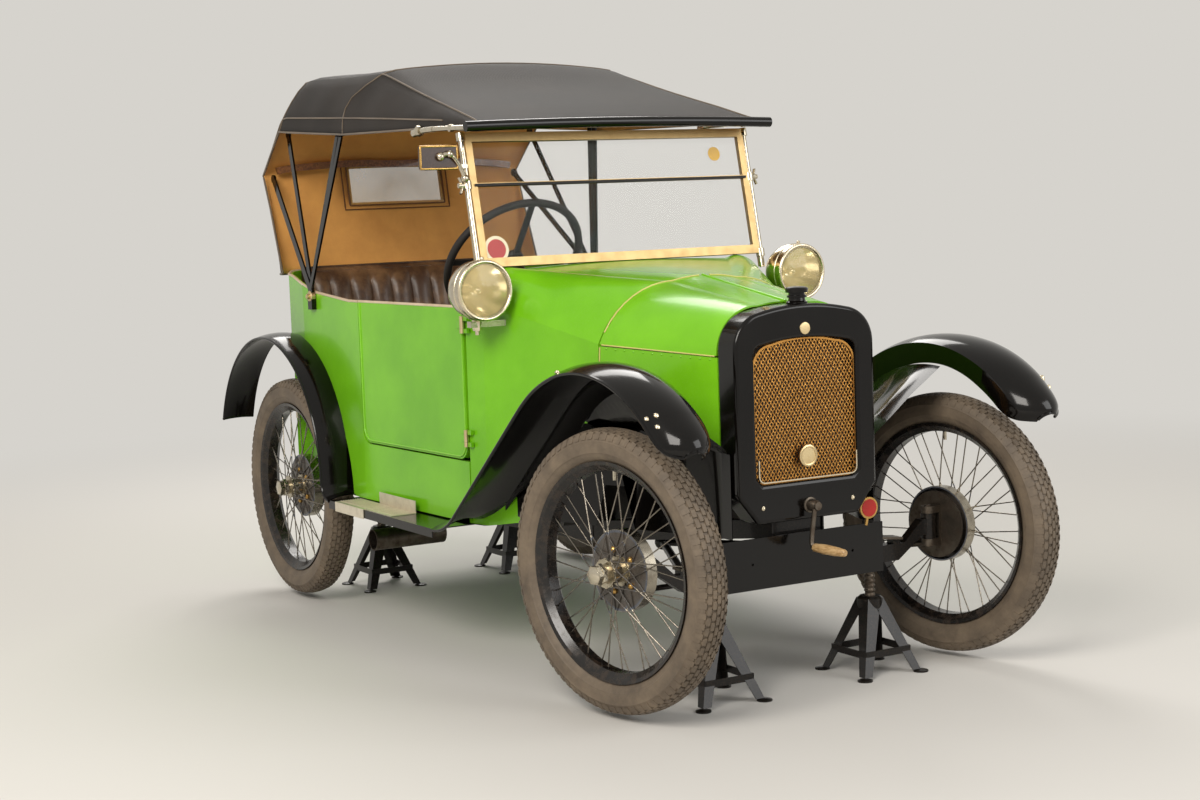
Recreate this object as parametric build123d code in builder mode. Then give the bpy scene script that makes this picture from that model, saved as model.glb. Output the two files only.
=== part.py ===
"""1920s light touring car with hood raised, held on four axle stands.

Millimetres. X runs forward, Y to the car's left, Z up; the origin lies on the floor
under the middle of the car's bounding box. Stations along the car are counted from the
middle of the wheelbase and heights from the road surface of the car on its wheels;
place_x and place_z carry them over to the frame.
"""
import os
from math import atan2, cos, degrees, hypot, pi, radians, sin

from build123d import *

os.makedirs("parts", exist_ok=True)

# Main sizes of the running gear
wheelbase = 1905
track = 1016
tyre_radius = 337
tyre_width = 86
rim_radius = 262
stand_lift = 12
steer_angle = 11
road_hub_height = 330
middle_shift = 43.2

place_z = tyre_radius + stand_lift - road_hub_height
place_x = middle_shift
hub_z = place_z + road_hub_height
front_x = place_x + wheelbase / 2
rear_x = place_x - wheelbase / 2
hub_y = track / 2

# Sheet, walls and fits
sheet = 3
wall = 14
seat_gap = 0.3
panel_gap = 5
turn_gap = 1

# Kingpins, knuckles and hubs
kingpin_offset = 75
kingpin_y = hub_y - kingpin_offset
kingpin_radius = 9
eye_radius = 19
eye_height = 64
stub_radius = 12
drum_radius = 93
drum_depth = 30
drum_inner_w = -36
back_plate_w = -41

# Bonnet, scuttle and radiator
radiator_front = 1035
radiator_depth = 78
radiator_half = 206
mesh_side = 810
radiator_top = mesh_side + 117
bonnet_front = 955
bonnet_rear = 600
screen_x = 221
door_front = 150
door_rear = -476
body_bottom = 340
door_bottom = 505
rail_height = 918


def at(x, z):
    """Station and road height to frame X and Z."""
    return (place_x + x, place_z + z)


def side_plane(y):
    """Vertical plane along the car at distance y to the left; local x forward, local y up."""
    return Plane(origin=(0, y, 0), x_dir=(1, 0, 0), z_dir=(0, -1, 0))


def cross_plane(x):
    """Plane across the car at frame X; local x to the left, local y up."""
    return Plane(origin=(x, 0, 0), x_dir=(0, 1, 0), z_dir=(1, 0, 0))


def between(start, end, radius):
    """Plane and length of a round bar from start to end."""
    run = Vector(*end) - Vector(*start)
    return Plane(origin=start, z_dir=run.normalized()), run.length, radius


def cowl_section(row):
    """Closed outline of a body section across the car: flat bottom, flat sides, arched top."""
    with BuildSketch(cross_plane(place_x + row["x"])) as section:
        with BuildLine():
            low = place_z + row["low"]
            side = place_z + row["side_z"]
            mid = place_z + row["mid_z"]
            top = place_z + row["top_z"]
            crown = place_z + row["crown"]
            Line((-row["low_y"], low), (row["low_y"], low))
            Line((row["low_y"], low), (row["side_y"], side))
            ThreePointArc((row["side_y"], side), (row["mid_y"], mid), (row["top_y"], top))
            ThreePointArc((row["top_y"], top), (0, crown), (-row["top_y"], top))
            ThreePointArc((-row["top_y"], top), (-row["mid_y"], mid), (-row["side_y"], side))
            Line((-row["side_y"], side), (-row["low_y"], low))
        make_face()
    return section.sketch


def shrunk(row, depth, floor_drop):
    """The same section taken in by a wall thickness, open below."""
    small = dict(row)
    for key in ("low_y", "side_y", "mid_y"):
        small[key] = row[key] - depth
    for key in ("mid_z", "top_z", "crown"):
        small[key] = row[key] - depth
    small["low"] = row["low"] - floor_drop
    return small


# Sections of bonnet and scuttle, heights over the road
radiator_row = dict(x=bonnet_front, low=480, low_y=203, side_y=203, side_z=811,
                    mid_y=178, mid_z=882, top_y=80, top_z=925, crown=931)
bonnet_row = dict(x=bonnet_rear, low=480, low_y=338, side_y=318, side_z=831,
                  mid_y=246, mid_z=925, top_y=98, top_z=978, crown=988)
scuttle_row = dict(x=bonnet_rear - panel_gap, low=400, low_y=342, side_y=319, side_z=831,
                   mid_y=247, mid_z=925, top_y=98, top_z=978, crown=988)
screen_row = dict(x=screen_x, low=340, low_y=456, side_y=449, side_z=930,
                  mid_y=430, mid_z=988, top_y=330, top_z=1014, crown=1022)
post_row = dict(x=door_front + 2, low=340, low_y=468, side_y=465, side_z=930,
                mid_y=450, mid_z=990, top_y=345, top_z=1016, crown=1024)

# Plan of the body behind the door posts, half widths
body_plan = [
    dict(x=door_front, y=470),
    dict(x=door_rear, y=497),
    dict(x=-900, y=492),
    dict(x=-1060, y=470),
]
tail_corner = dict(x=-1168, y=390)
tail_back = dict(x=-1200, y=250)


def plan_outline(inset, front):
    """Plan of the body as a closed face on the floor plane, taken in by inset all round."""
    with BuildSketch(Plane.XY) as plan:
        with BuildLine():
            pts = [(place_x + p["x"], p["y"] - inset) for p in body_plan]
            pts[0] = (place_x + front, pts[0][1])
            corner = (place_x + tail_corner["x"] + inset * 0.7, tail_corner["y"] - inset * 0.7)
            back = (place_x + tail_back["x"] + inset, tail_back["y"] - inset * 0.3)
            Polyline(*pts)
            ThreePointArc(pts[-1], corner, back)
            Line(back, (back[0], -back[1]))
            ThreePointArc((back[0], -back[1]), (corner[0], -corner[1]), (pts[-1][0], -pts[-1][1]))
            Polyline(*[(p[0], -p[1]) for p in reversed(pts)])
            Line((pts[0][0], -pts[0][1]), pts[0])
        make_face()
    return plan.sketch


# Outer shape of the whole body, used to trim the wings and boards against it
with BuildPart() as body_hull:
    add(cowl_section(radiator_row))
    add(cowl_section(bonnet_row))
    loft(ruled=True)
    add(cowl_section(scuttle_row))
    add(cowl_section(screen_row))
    loft(ruled=True)
    add(cowl_section(screen_row))
    add(cowl_section(post_row))
    loft(ruled=True)
    with BuildSketch(Plane.XY.offset(place_z + body_bottom)):
        add(plan_outline(0, door_front))
    extrude(amount=1010 - body_bottom)

# Door hinges: a middle barrel on the door between two end barrels on the post
hinge_radius = 6
hinge_out = 5
hinge_heights = (569, 873)
hinge_middle = 20
hinge_end = 12

# Skin of the whole bonnet, and the space under its side seams
bonnet_sheet = 4
seam_gap = panel_gap
hinge_rod = 4
with BuildPart() as bonnet_skin:
    add(cowl_section(radiator_row))
    add(cowl_section(bonnet_row))
    loft(ruled=True)
    add(cowl_section(shrunk(dict(radiator_row, x=bonnet_front + 1), bonnet_sheet, 5)))
    add(cowl_section(shrunk(dict(bonnet_row, x=bonnet_rear - 1), bonnet_sheet, 5)))
    loft(ruled=True, mode=Mode.SUBTRACT)
rod_rear = (place_x + bonnet_rear - panel_gap - 1, 0, place_z + bonnet_row["crown"])
rod_front = (place_x + bonnet_front + 1, 0, place_z + radiator_row["crown"])
rod_plane, rod_run, rod_r = between(rod_rear, rod_front, hinge_rod)
with BuildPart() as seam_cut:
    with BuildSketch(side_plane(400)):
        with BuildLine():
            seam_rear = bonnet_row["side_z"]
            seam_front = radiator_row["side_z"]
            Polyline(at(bonnet_rear - 5, seam_rear), at(bonnet_front + 5, seam_front),
                     at(bonnet_front + 5, 400), at(bonnet_rear - 5, 400), at(bonnet_rear - 5, seam_rear))
        make_face()
    extrude(amount=800)

# Scuttle: cowl from the bonnet to the door posts, with the bonnet's fixed sides
with BuildPart() as scuttle:
    add(cowl_section(scuttle_row))
    add(cowl_section(screen_row))
    loft(ruled=True)
    add(cowl_section(screen_row))
    add(cowl_section(post_row))
    loft(ruled=True)
    cowl_thickness = wall - 2
    add(cowl_section(shrunk(dict(scuttle_row, x=bonnet_rear + 1), cowl_thickness, 5)))
    add(cowl_section(shrunk(screen_row, cowl_thickness, 5)))
    loft(ruled=True, mode=Mode.SUBTRACT)
    add(cowl_section(shrunk(screen_row, cowl_thickness, 5)))
    add(cowl_section(shrunk(dict(post_row, x=door_front - 1), cowl_thickness, 5)))
    loft(ruled=True, mode=Mode.SUBTRACT)
    with BuildSketch(side_plane(600)):
        with BuildLine():
            Polyline(at(screen_x - 8, 1100), at(screen_x - 14, 1010), at(screen_x - 30, 960),
                     at(screen_x - 50, rail_height + 12), at(door_front - 20, rail_height),
                     at(door_front - 20, 1100), at(screen_x - 8, 1100))
        make_face()
    extrude(amount=1200, mode=Mode.SUBTRACT)
    with BuildSketch(side_plane(600)):
        with BuildLine():
            Polyline(at(bonnet_rear + 10, 480), at(bonnet_rear - 20, 480), at(300, 330),
                     at(bonnet_rear + 10, 330), at(bonnet_rear + 10, 480))
        make_face()
    extrude(amount=1200, mode=Mode.SUBTRACT)
    for side in (-1, 1):
        for height in hinge_heights:
            for step in (-1, 1):
                middle = step * (hinge_middle + hinge_end + 2 * seat_gap) / 2
                with Locations((place_x + door_front, side * (470 + hinge_out), place_z + height + middle)):
                    Cylinder(hinge_radius, hinge_end)
                with Locations((place_x + door_front + 12, side * (466 + 3.5), place_z + height + middle)):
                    Box(24, 9, hinge_end)
with BuildPart() as bonnet_sides:
    add(bonnet_skin.part)
    with BuildSketch(side_plane(400)):
        with BuildLine():
            Polyline(at(bonnet_rear - 5, seam_rear - seam_gap), at(bonnet_front + 5, seam_front - seam_gap),
                     at(bonnet_front + 5, 1100), at(bonnet_rear - 5, 1100),
                     at(bonnet_rear - 5, seam_rear - seam_gap))
        make_face()
    extrude(amount=800, mode=Mode.SUBTRACT)

with BuildPart() as scuttle_all:
    with BuildSketch(rod_plane):
        Circle(rod_r)
    extrude(amount=rod_run)
    add(scuttle.part)
    add(bonnet_sides.part)
scuttle_all.part.label = "scuttle"
export_step(scuttle_all.part, "parts/scuttle.step")

# Bonnet: two tops that meet at the crest, over fixed sides
for name, side in (("bonnet_right", -1), ("bonnet_left", 1)):
    with BuildPart() as bonnet:
        add(bonnet_skin.part)
        with Locations((place_x + (bonnet_front + bonnet_rear) / 2, -side * 300, place_z + 750)):
            Box(bonnet_front - bonnet_rear + 20, 600, 800, mode=Mode.SUBTRACT)
        with Locations((place_x + bonnet_front + 7, 0, place_z + 750)):
            Box(20, 600, 800, mode=Mode.SUBTRACT)
        with BuildSketch(rod_plane):
            Circle(rod_r + seat_gap)
        extrude(amount=rod_run, mode=Mode.SUBTRACT)
        add(seam_cut.part, mode=Mode.SUBTRACT)
    bonnet.part.label = name
    export_step(bonnet.part, "parts/" + name + ".step")

# Rear wheel housings in the body
housing_radius = 386
housing_y = 446
rail_points = [(door_front + 30, rail_height), (-540, rail_height), (-800, 938), (-1020, 982),
               (-1120, 994), (-1230, 996)]

# Hollow of the body, leaving the wheel housings and the raised rear floor standing
raised_floor = 460
raised_front = -706
raised_rear = -1186
raised_half = 432
with BuildPart() as body_hollow:
    with BuildSketch(Plane.XY.offset(place_z + body_bottom + wall)):
        add(plan_outline(wall, door_front + 2))
    extrude(amount=800)
    for side in (-1, 1):
        with Locations(Location((rear_x, side * (housing_y - wall + 60), hub_z), (90, 0, 0))):
            Cylinder(housing_radius + wall, 120, mode=Mode.SUBTRACT)
    with Locations((place_x + raised_front - 300, 0, place_z + (raised_floor + wall) / 2 + 100)):
        Box(600, 1100, raised_floor + wall - 200, mode=Mode.SUBTRACT)

# Body tub: sills, rear quarters, wheel housings and tail
door_corner = 42
with BuildPart() as body_tub:
    with BuildSketch(Plane.XY.offset(place_z + body_bottom)):
        add(plan_outline(0, door_front))
    extrude(amount=1010 - body_bottom)
    with BuildSketch(side_plane(600)):
        with BuildLine():
            Polyline(*[at(*p) for p in rail_points], at(-1230, 1100), at(door_front + 30, 1100),
                     at(*rail_points[0]))
        make_face()
    extrude(amount=1200, mode=Mode.SUBTRACT)
    add(body_hollow.part, mode=Mode.SUBTRACT)
    with BuildSketch(side_plane(600)):
        with BuildLine():
            Polyline(at(door_front + 10, 1100), at(door_front + 10, door_bottom),
                     at(door_rear + door_corner, door_bottom))
            RadiusArc(at(door_rear + door_corner, door_bottom),
                      at(door_rear, door_bottom + door_corner), door_corner)
            Polyline(at(door_rear, door_bottom + door_corner), at(door_rear, 1100),
                     at(door_front + 10, 1100))
        make_face()
    extrude(amount=1200, mode=Mode.SUBTRACT)
    for side in (-1, 1):
        with Locations(Location((rear_x, side * (housing_y + 60), hub_z), (90, 0, 0))):
            Cylinder(housing_radius, 120, mode=Mode.SUBTRACT)
    tunnel_length = raised_front - wall - raised_rear
    tunnel_z = place_z + (body_bottom + raised_floor) / 2
    with Locations((place_x + raised_rear + tunnel_length / 2, 0, tunnel_z)):
        Box(tunnel_length, 2 * (raised_half - wall), raised_floor - body_bottom, mode=Mode.SUBTRACT)
    with Locations((rear_x, 0, hub_z + 20)):
        Box(120, 1100, 120, mode=Mode.SUBTRACT)
body_tub.part.label = "body_tub"
export_step(body_tub.part, "parts/body_tub.step")

# Doors, each as thick as its wall, hinged at the front edge
door_thickness = 20
door_hollow = plan_outline(door_thickness, door_front + 2)
for name, side in (("door_right", -1), ("door_left", 1)):
    with BuildPart() as door:
        with BuildSketch(Plane.XY.offset(place_z + body_bottom)):
            add(plan_outline(0, door_front + 1))
            add(door_hollow, mode=Mode.SUBTRACT)
        extrude(amount=1010 - body_bottom)
        with BuildSketch(side_plane(600)):
            with BuildLine():
                low = door_bottom + panel_gap
                back = door_rear + panel_gap
                front = door_front - panel_gap
                Polyline(at(back, rail_height), at(back, low + door_corner))
                RadiusArc(at(back, low + door_corner), at(back + door_corner, low), -door_corner)
                Line(at(back + door_corner, low), at(front - door_corner, low))
                RadiusArc(at(front - door_corner, low), at(front, low + door_corner), -door_corner)
                Polyline(at(front, low + door_corner), at(front, rail_height), at(back, rail_height))
            make_face()
        extrude(amount=1200, mode=Mode.INTERSECT)
        with Locations((place_x - 300, -side * 300, place_z + 700)):
            Box(1600, 600 + 2 * 300, 1400, mode=Mode.SUBTRACT)
        for height in hinge_heights:
            with Locations((place_x + door_front, side * (470 + hinge_out), place_z + height)):
                Cylinder(hinge_radius, hinge_middle)
            with Locations((place_x + door_front - 18, side * (470 + 2), place_z + height)):
                Box(36, 4, hinge_middle)
    door.part.label = name
    export_step(door.part, "parts/" + name + ".step")

# Wings: side profile arcs and the cross section shared along them
wing_half = 584
wing_inner = wing_half - 150
front_arc = dict(x=958, z=311, radius=490)
slope_angle = 39
foot_radius = 200
board_z = 336
rear_arc = dict(x=-1015, z=383, radius=415)
rear_foot_radius = rear_arc["z"] - board_z
rear_tail_angle = 162
board_front = 140
board_rear = rear_arc["x"] + rear_arc["radius"] + rear_foot_radius
lip_drop = 7
wing_crown = wing_half - 72
tail_crown = wing_half - 44


def arc_point(arc, angle):
    """Point on a side-profile arc, angle counted from straight up towards the front."""
    turn = radians(angle)
    return (arc["x"] + arc["radius"] * sin(turn), arc["z"] + arc["radius"] * cos(turn))


slope_top = arc_point(front_arc, -slope_angle)
slope_run = (slope_top[1] - board_z) / sin(radians(slope_angle)) - foot_radius * (
    1 - cos(radians(slope_angle))) / sin(radians(slope_angle))
slope_low = (slope_top[0] - slope_run * cos(radians(slope_angle)),
             slope_top[1] - slope_run * sin(radians(slope_angle)))
foot_mid_angle = slope_angle / 2
foot_centre = (slope_low[0] - foot_radius * sin(radians(slope_angle)),
               slope_low[1] + foot_radius * cos(radians(slope_angle)))
foot_mid = (foot_centre[0] + foot_radius * sin(radians(foot_mid_angle)),
            foot_centre[1] - foot_radius * cos(radians(foot_mid_angle)))
foot_end = (foot_centre[0], foot_centre[1] - foot_radius)


valance_depth = 72
valance_arc = dict(front_arc, radius=front_arc["radius"] - valance_depth)
valance_low = (slope_low[0] + valance_depth * sin(radians(slope_angle)),
               slope_low[1] - valance_depth * cos(radians(slope_angle)))


# Front wings over the wheel: sections square to the wing's arc, turn counted from upright,
# out_r the outer lip, mid_r the crown, top_r and low_r the head and foot of the inner skirt
wing_mid = wing_half - 74
wing_rows = [
    dict(turn=-slope_angle, out_y=wing_half, out_r=490, mid_r=510, in_y=wing_inner, top_r=496, low_r=418),
    dict(turn=-28, out_y=wing_half, out_r=490, mid_r=510, in_y=wing_inner, top_r=494, low_r=425),
    dict(turn=-16, out_y=wing_half, out_r=490, mid_r=509, in_y=wing_inner, top_r=492, low_r=432),
    dict(turn=-4, out_y=wing_half, out_r=489, mid_r=508, in_y=wing_inner, top_r=490, low_r=437),
    dict(turn=8, out_y=wing_half, out_r=487, mid_r=509, in_y=wing_inner + 1, top_r=487, low_r=440),
    dict(turn=18, out_y=wing_half - 1, out_r=484, mid_r=512, in_y=wing_inner + 2, top_r=483, low_r=438),
    dict(turn=27, out_y=wing_half - 3, out_r=478, mid_r=515, in_y=wing_inner + 4, top_r=478, low_r=435),
    dict(turn=34, out_y=wing_half - 8, out_r=470, mid_r=516, in_y=wing_inner + 10, top_r=471, low_r=435),
    dict(turn=40, out_y=wing_half - 16, out_r=461, mid_r=514, in_y=wing_inner + 19, top_r=463, low_r=439),
    dict(turn=45, out_y=wing_half - 29, out_r=455, mid_r=507, in_y=wing_inner + 33, top_r=460, low_r=446),
    dict(turn=49, out_y=wing_half - 48, out_r=464, mid_r=498.5, in_y=wing_inner + 52, top_r=468, low_r=458),
]


def wing_section(side, row):
    """Thin section of a front wing in the plane through the wheel arch's centre line."""
    turn = radians(row["turn"])
    middle = at(front_arc["x"], front_arc["z"])
    out_y = side * row["out_y"]
    out_in = side * (row["out_y"] - sheet)
    in_y = side * row["in_y"]
    in_out = side * (row["in_y"] + sheet)
    arch = Plane(origin=(middle[0], 0, middle[1]), x_dir=(0, 1, 0), z_dir=(cos(turn), 0, -sin(turn)))
    with BuildSketch(arch) as section:
        with BuildLine():
            Line((out_y, row["out_r"]), (out_y, row["out_r"] - lip_drop))
            Line((out_y, row["out_r"] - lip_drop), (out_in, row["out_r"] - lip_drop))
            Line((out_in, row["out_r"] - lip_drop), (out_in, row["out_r"] - 1))
            ThreePointArc((out_in, row["out_r"] - 1), (side * wing_mid, row["mid_r"] - sheet),
                          (in_out, row["top_r"] - sheet))
            Line((in_out, row["top_r"] - sheet), (in_out, row["low_r"]))
            Line((in_out, row["low_r"]), (in_y, row["low_r"]))
            Line((in_y, row["low_r"]), (in_y, row["top_r"]))
            ThreePointArc((in_y, row["top_r"]), (side * wing_mid, row["mid_r"]), (out_y, row["out_r"]))
        make_face()
    return section.sketch


def lip_plane(path_line):
    """Plane square to a wing's side profile at its start, local x across, local y outward."""
    return Plane(origin=path_line @ 0, x_dir=(0, -1, 0), z_dir=path_line % 0)


# Wings: each pair swept along its side profile and trimmed against the body
with BuildPart() as wings:
    for side in (-1, 1):
        for row in wing_rows:
            add(wing_section(side, row))
        loft(ruled=True)
    with BuildLine(side_plane(0)) as wing_path:
        Line(at(*slope_top), at(*slope_low))
        ThreePointArc(at(*slope_low), at(*foot_mid), at(*foot_end))
    for side in (-1, 1):
        with BuildSketch(lip_plane(wing_path.line)):
            with BuildLine():
                Polyline((side * wing_half, 0), (side * wing_half, -lip_drop),
                         (side * (wing_half - sheet), -lip_drop), (side * (wing_half - sheet), -1))
                ThreePointArc((side * (wing_half - sheet), -1), (side * wing_crown, 20 - sheet),
                              (side * (wing_inner + sheet), 3))
                Polyline((side * (wing_inner + sheet), 3), (side * (wing_inner + sheet), -lip_drop),
                         (side * wing_inner, -lip_drop), (side * wing_inner, 6))
                ThreePointArc((side * wing_inner, 6), (side * wing_crown, 20), (side * wing_half, 0))
            make_face()
        sweep(path=wing_path.line)
    with BuildLine(side_plane(0)) as apron_path:
        Line(at(*slope_top), at(*slope_low))
        ThreePointArc(at(*slope_low), at(*foot_mid), at(*foot_end))
    for side in (-1, 1):
        with BuildSketch(lip_plane(apron_path.line)):
            with BuildLine():
                Polyline((side * 320, 3), (side * (wing_inner + 1), 3), (side * (wing_inner + 1), 6),
                         (side * 320, 6), (side * 320, 3))
            make_face()
        sweep(path=apron_path.line)
        with BuildSketch(side_plane(side * (wing_inner + (sheet if side > 0 else 0)))):
            with BuildLine():
                Polyline(at(*slope_top), at(*slope_low), at(*valance_low),
                         at(*arc_point(valance_arc, -slope_angle)), at(*slope_top))
            make_face()
        extrude(amount=sheet)
    with BuildLine(side_plane(0)) as tail_path:
        ThreePointArc(at(*arc_point(rear_arc, 90 - rear_tail_angle)), at(*arc_point(rear_arc, 0)),
                      at(*arc_point(rear_arc, 90)))
        foot_x = board_rear - rear_foot_radius * sin(radians(45))
        foot_z = board_z + rear_foot_radius * (1 - cos(radians(45)))
        ThreePointArc(at(*arc_point(rear_arc, 90)), at(foot_x, foot_z), at(board_rear, board_z))
    rear_inner = wing_half - 106
    for side in (-1, 1):
        with BuildSketch(Plane(origin=tail_path.line @ 0, x_dir=(0, 1, 0), z_dir=tail_path.line % 0)):
            with BuildLine():
                Polyline((side * wing_half, 0), (side * wing_half, -lip_drop),
                         (side * (wing_half - sheet), -lip_drop), (side * (wing_half - sheet), -1))
                ThreePointArc((side * (wing_half - sheet), -1), (side * tail_crown, 10 - sheet),
                              (side * rear_inner, 5))
                Line((side * rear_inner, 5), (side * rear_inner, 5 + sheet))
                ThreePointArc((side * rear_inner, 5 + sheet), (side * tail_crown, 10), (side * wing_half, 0))
            make_face()
        sweep(path=tail_path.line)
    add(body_hull.part, mode=Mode.SUBTRACT)
wings.part.label = "wings"
export_step(wings.part, "parts/wings.step")

with BuildPart() as running_boards:
    for side in (-1, 1):
        board_length = foot_end[0] - board_rear - 2 * seat_gap
        board_middle = place_x + (foot_end[0] + board_rear) / 2
        with Locations((board_middle, side * (wing_half + 400) / 2, place_z + board_z - sheet / 2)):
            Box(board_length, wing_half - 400, sheet)
        with Locations((board_middle, side * (wing_half - sheet / 2), place_z + board_z - 12)):
            Box(board_length, sheet, 24)
    add(body_hull.part, mode=Mode.SUBTRACT)
running_boards.part.label = "running_boards"
export_step(running_boards.part, "parts/running_boards.step")

with BuildPart() as step_plates:
    for side in (-1, 1):
        with Locations((place_x - 315, side * (wing_half - 44), place_z + board_z + 1)):
            Box(370, 78, 2)
        with Locations((place_x - 250, side * (wing_half - 82), place_z + board_z + 18)):
            Box(240, 2, 36)
        with Locations((place_x - 400, side * (wing_half + 2), place_z + board_z - 12)):
            Box(200, 2, 28)
        with Locations((place_x - 400, side * (wing_half - 2), place_z + board_z + 1)):
            Box(200, 10, 2)
step_plates.part.label = "step_plates"
export_step(step_plates.part, "parts/step_plates.step")

# Frame: two channels spreading to the rear, with cross members
channel_rows = [
    dict(x=985, y=78, low=360, high=404.7),
    dict(x=330, y=215, low=286, high=339.7),
    dict(x=-560, y=330, low=286, high=339.7),
]
channel_width = 30
torque_rear = (rear_x + 60, 0, hub_z)
torque_front = (place_x - 310, 0, place_z + 262)
channel_sheet = 4
with BuildPart() as chassis_frame:
    for side in (-1, 1):
        for first, second in zip(channel_rows, channel_rows[1:]):
            for row in (first, second):
                with BuildSketch(cross_plane(place_x + row["x"])):
                    with BuildLine():
                        out = side * row["y"]
                        back = side * (row["y"] - channel_width)
                        skin = side * (row["y"] - channel_sheet)
                        low = place_z + row["low"]
                        high = place_z + row["high"]
                        Polyline((out, low), (out, high), (back, high), (back, high - channel_sheet),
                                 (skin, high - channel_sheet), (skin, low + channel_sheet),
                                 (back, low + channel_sheet), (back, low), (out, low))
                    make_face()
            loft(ruled=True)
    for x, y, low, high in ((960, 76, 352.3, 404.7), (330, 213, 290, 336), (-300, 296, 289.3, 336),
                            (-545, 326, 290, 336)):
        with Locations((place_x + x, 0, place_z + (low + high) / 2)):
            Box(40, 2 * y, high - low)
    for side in (-1, 1):
        for x, y in ((-60, 254), (-420, 300)):
            with Locations((place_x + x, side * (y + wing_half - 14) / 2, place_z + board_z - sheet - seat_gap - 9)):
                Box(36, wing_half - 14 - y, 18)
    tunnel_plane, tunnel_run, tunnel_radius = between(torque_rear, torque_front, 32)
    with BuildSketch(tunnel_plane):
        Circle(tunnel_radius)
    extrude(amount=tunnel_run - 70, mode=Mode.SUBTRACT)
chassis_frame.part.label = "chassis_frame"
export_step(chassis_frame.part, "parts/chassis_frame.step")

# Engine and gearbox as one plain block with its real bulk
with BuildPart() as engine_block:
    with Locations((place_x + 780, 0, place_z + 580)):
        Box(290, 220, 360)
    with Locations((place_x + 500, 0, place_z + 440)):
        Box(300, 196, 160)
    with Locations((place_x + 780, 0, place_z + 372)):
        Box(280, 96, 60)
    with Locations(Location((place_x + 935, 0, place_z + 440), (0, 90, 0))):
        Cylinder(20, 38)
    with Locations((place_x + 560, 0, place_z + 377.6)):
        Box(50, 330, 24)
engine_block.part.label = "engine_block"
export_step(engine_block.part, "parts/engine_block.step")

# Front axle: dropped beam with an eye at each end for the kingpin, and a vee of radius arms
arm_tube = 11
beam_width = 26
beam_flat = 345
spring_end = 334
spring_top = 334
spring_drop = 20
leaf = 6
with BuildPart() as front_axle:
    with BuildSketch(cross_plane(front_x + beam_width / 2)):
        with BuildLine():
            Polyline((-kingpin_y, hub_z + 20), (-kingpin_y + 30, hub_z + 20), (-beam_flat, hub_z - 32),
                     (beam_flat, hub_z - 32), (kingpin_y - 30, hub_z + 20), (kingpin_y, hub_z + 20),
                     (kingpin_y, hub_z - 20), (kingpin_y - 30, hub_z - 20), (beam_flat - 20, hub_z - 75),
                     (20 - beam_flat, hub_z - 75), (-kingpin_y + 30, hub_z - 20), (-kingpin_y, hub_z - 20),
                     (-kingpin_y, hub_z + 20))
        make_face()
    extrude(amount=-beam_width)
    for side in (-1, 1):
        with Locations((front_x, side * kingpin_y, hub_z)):
            Cylinder(eye_radius, eye_height)
        with Locations((front_x, side * kingpin_y, hub_z)):
            Cylinder(kingpin_radius + turn_gap, eye_height + 2, mode=Mode.SUBTRACT)
        perch_top = place_z + spring_top - spring_drop - leaf - seat_gap
        perch_low = hub_z - 34
        with Locations((front_x, side * (spring_end - 14), (perch_top + perch_low) / 2)):
            Box(24, 24, perch_top - perch_low)
    for side in (-1, 1):
        arm_plane, arm_length, arm_r = between((front_x - 10, side * 300, hub_z - 50),
                                               (place_x + 360, 0, place_z + 262), arm_tube)
        with BuildSketch(arm_plane):
            Circle(arm_r)
        extrude(amount=arm_length)
    with Locations((place_x + 360, 0, place_z + 262)):
        Sphere(22)
front_axle.part.label = "front_axle"
export_step(front_axle.part, "parts/front_axle.step")

# Rear axle: tube, differential casing and torque tube
with BuildPart() as rear_axle:
    with Locations(Location((rear_x, 0, hub_z), (90, 0, 0))):
        Cylinder(27, 2 * (hub_y + back_plate_w - 4))
    with Locations((rear_x, 0, hub_z)):
        Sphere(92)
    for side in (-1, 1):
        with Locations(Location((rear_x, side * (hub_y + back_plate_w - 2), hub_z), (90, 0, 0))):
            Cylinder(88, 4)
        stub_run = 50 - back_plate_w + 1
        with Locations(Location((rear_x, side * (hub_y + 50 - stub_run / 2), hub_z), (90, 0, 0))):
            Cylinder(stub_radius, stub_run)
    tube_plane, tube_length, tube_r = between(torque_rear, torque_front, 24)
    with BuildSketch(tube_plane):
        Circle(tube_r)
    extrude(amount=tube_length)
    with Locations(torque_front):
        Sphere(27)
rear_axle.part.label = "rear_axle"
export_step(rear_axle.part, "parts/rear_axle.step")

# Springs: leaves across the car in front, quarter elliptic leaves behind
with BuildPart() as springs:
    for n, half in enumerate((334, 270, 205, 140)):
        with BuildSketch(cross_plane(front_x + 20)):
            with BuildLine():
                high = place_z + spring_top + n * leaf
                drop = spring_drop * (half / spring_end) ** 2
                ThreePointArc((-half, high - drop), (0, high), (half, high - drop))
                Line((half, high - drop), (half, high - drop - leaf))
                ThreePointArc((half, high - drop - leaf), (0, high - leaf), (-half, high - drop - leaf))
                Line((-half, high - drop - leaf), (-half, high - drop))
            make_face()
        extrude(amount=-40)
    for side in (-1, 1):
        for n, reach in enumerate((400, 330, 260, 190)):
            with Locations((place_x - 545 - reach / 2 + 40, side * 300, place_z + 282.7 - n * leaf)):
                Box(reach + 80, 40, leaf)
        with Locations((rear_x, side * 300, hub_z - 39.3)):
            Box(50, 44, 24)
springs.part.label = "springs"
export_step(springs.part, "parts/springs.step")

# Radiator: enamelled shell, brass lattice, core and cap
mesh_half = 150
mesh_low = 500
mesh_crown = mesh_side + 35
shell_side = mesh_side + 20
shell_shoulder = mesh_side + 76
shell_haunch = mesh_side + 103


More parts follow.
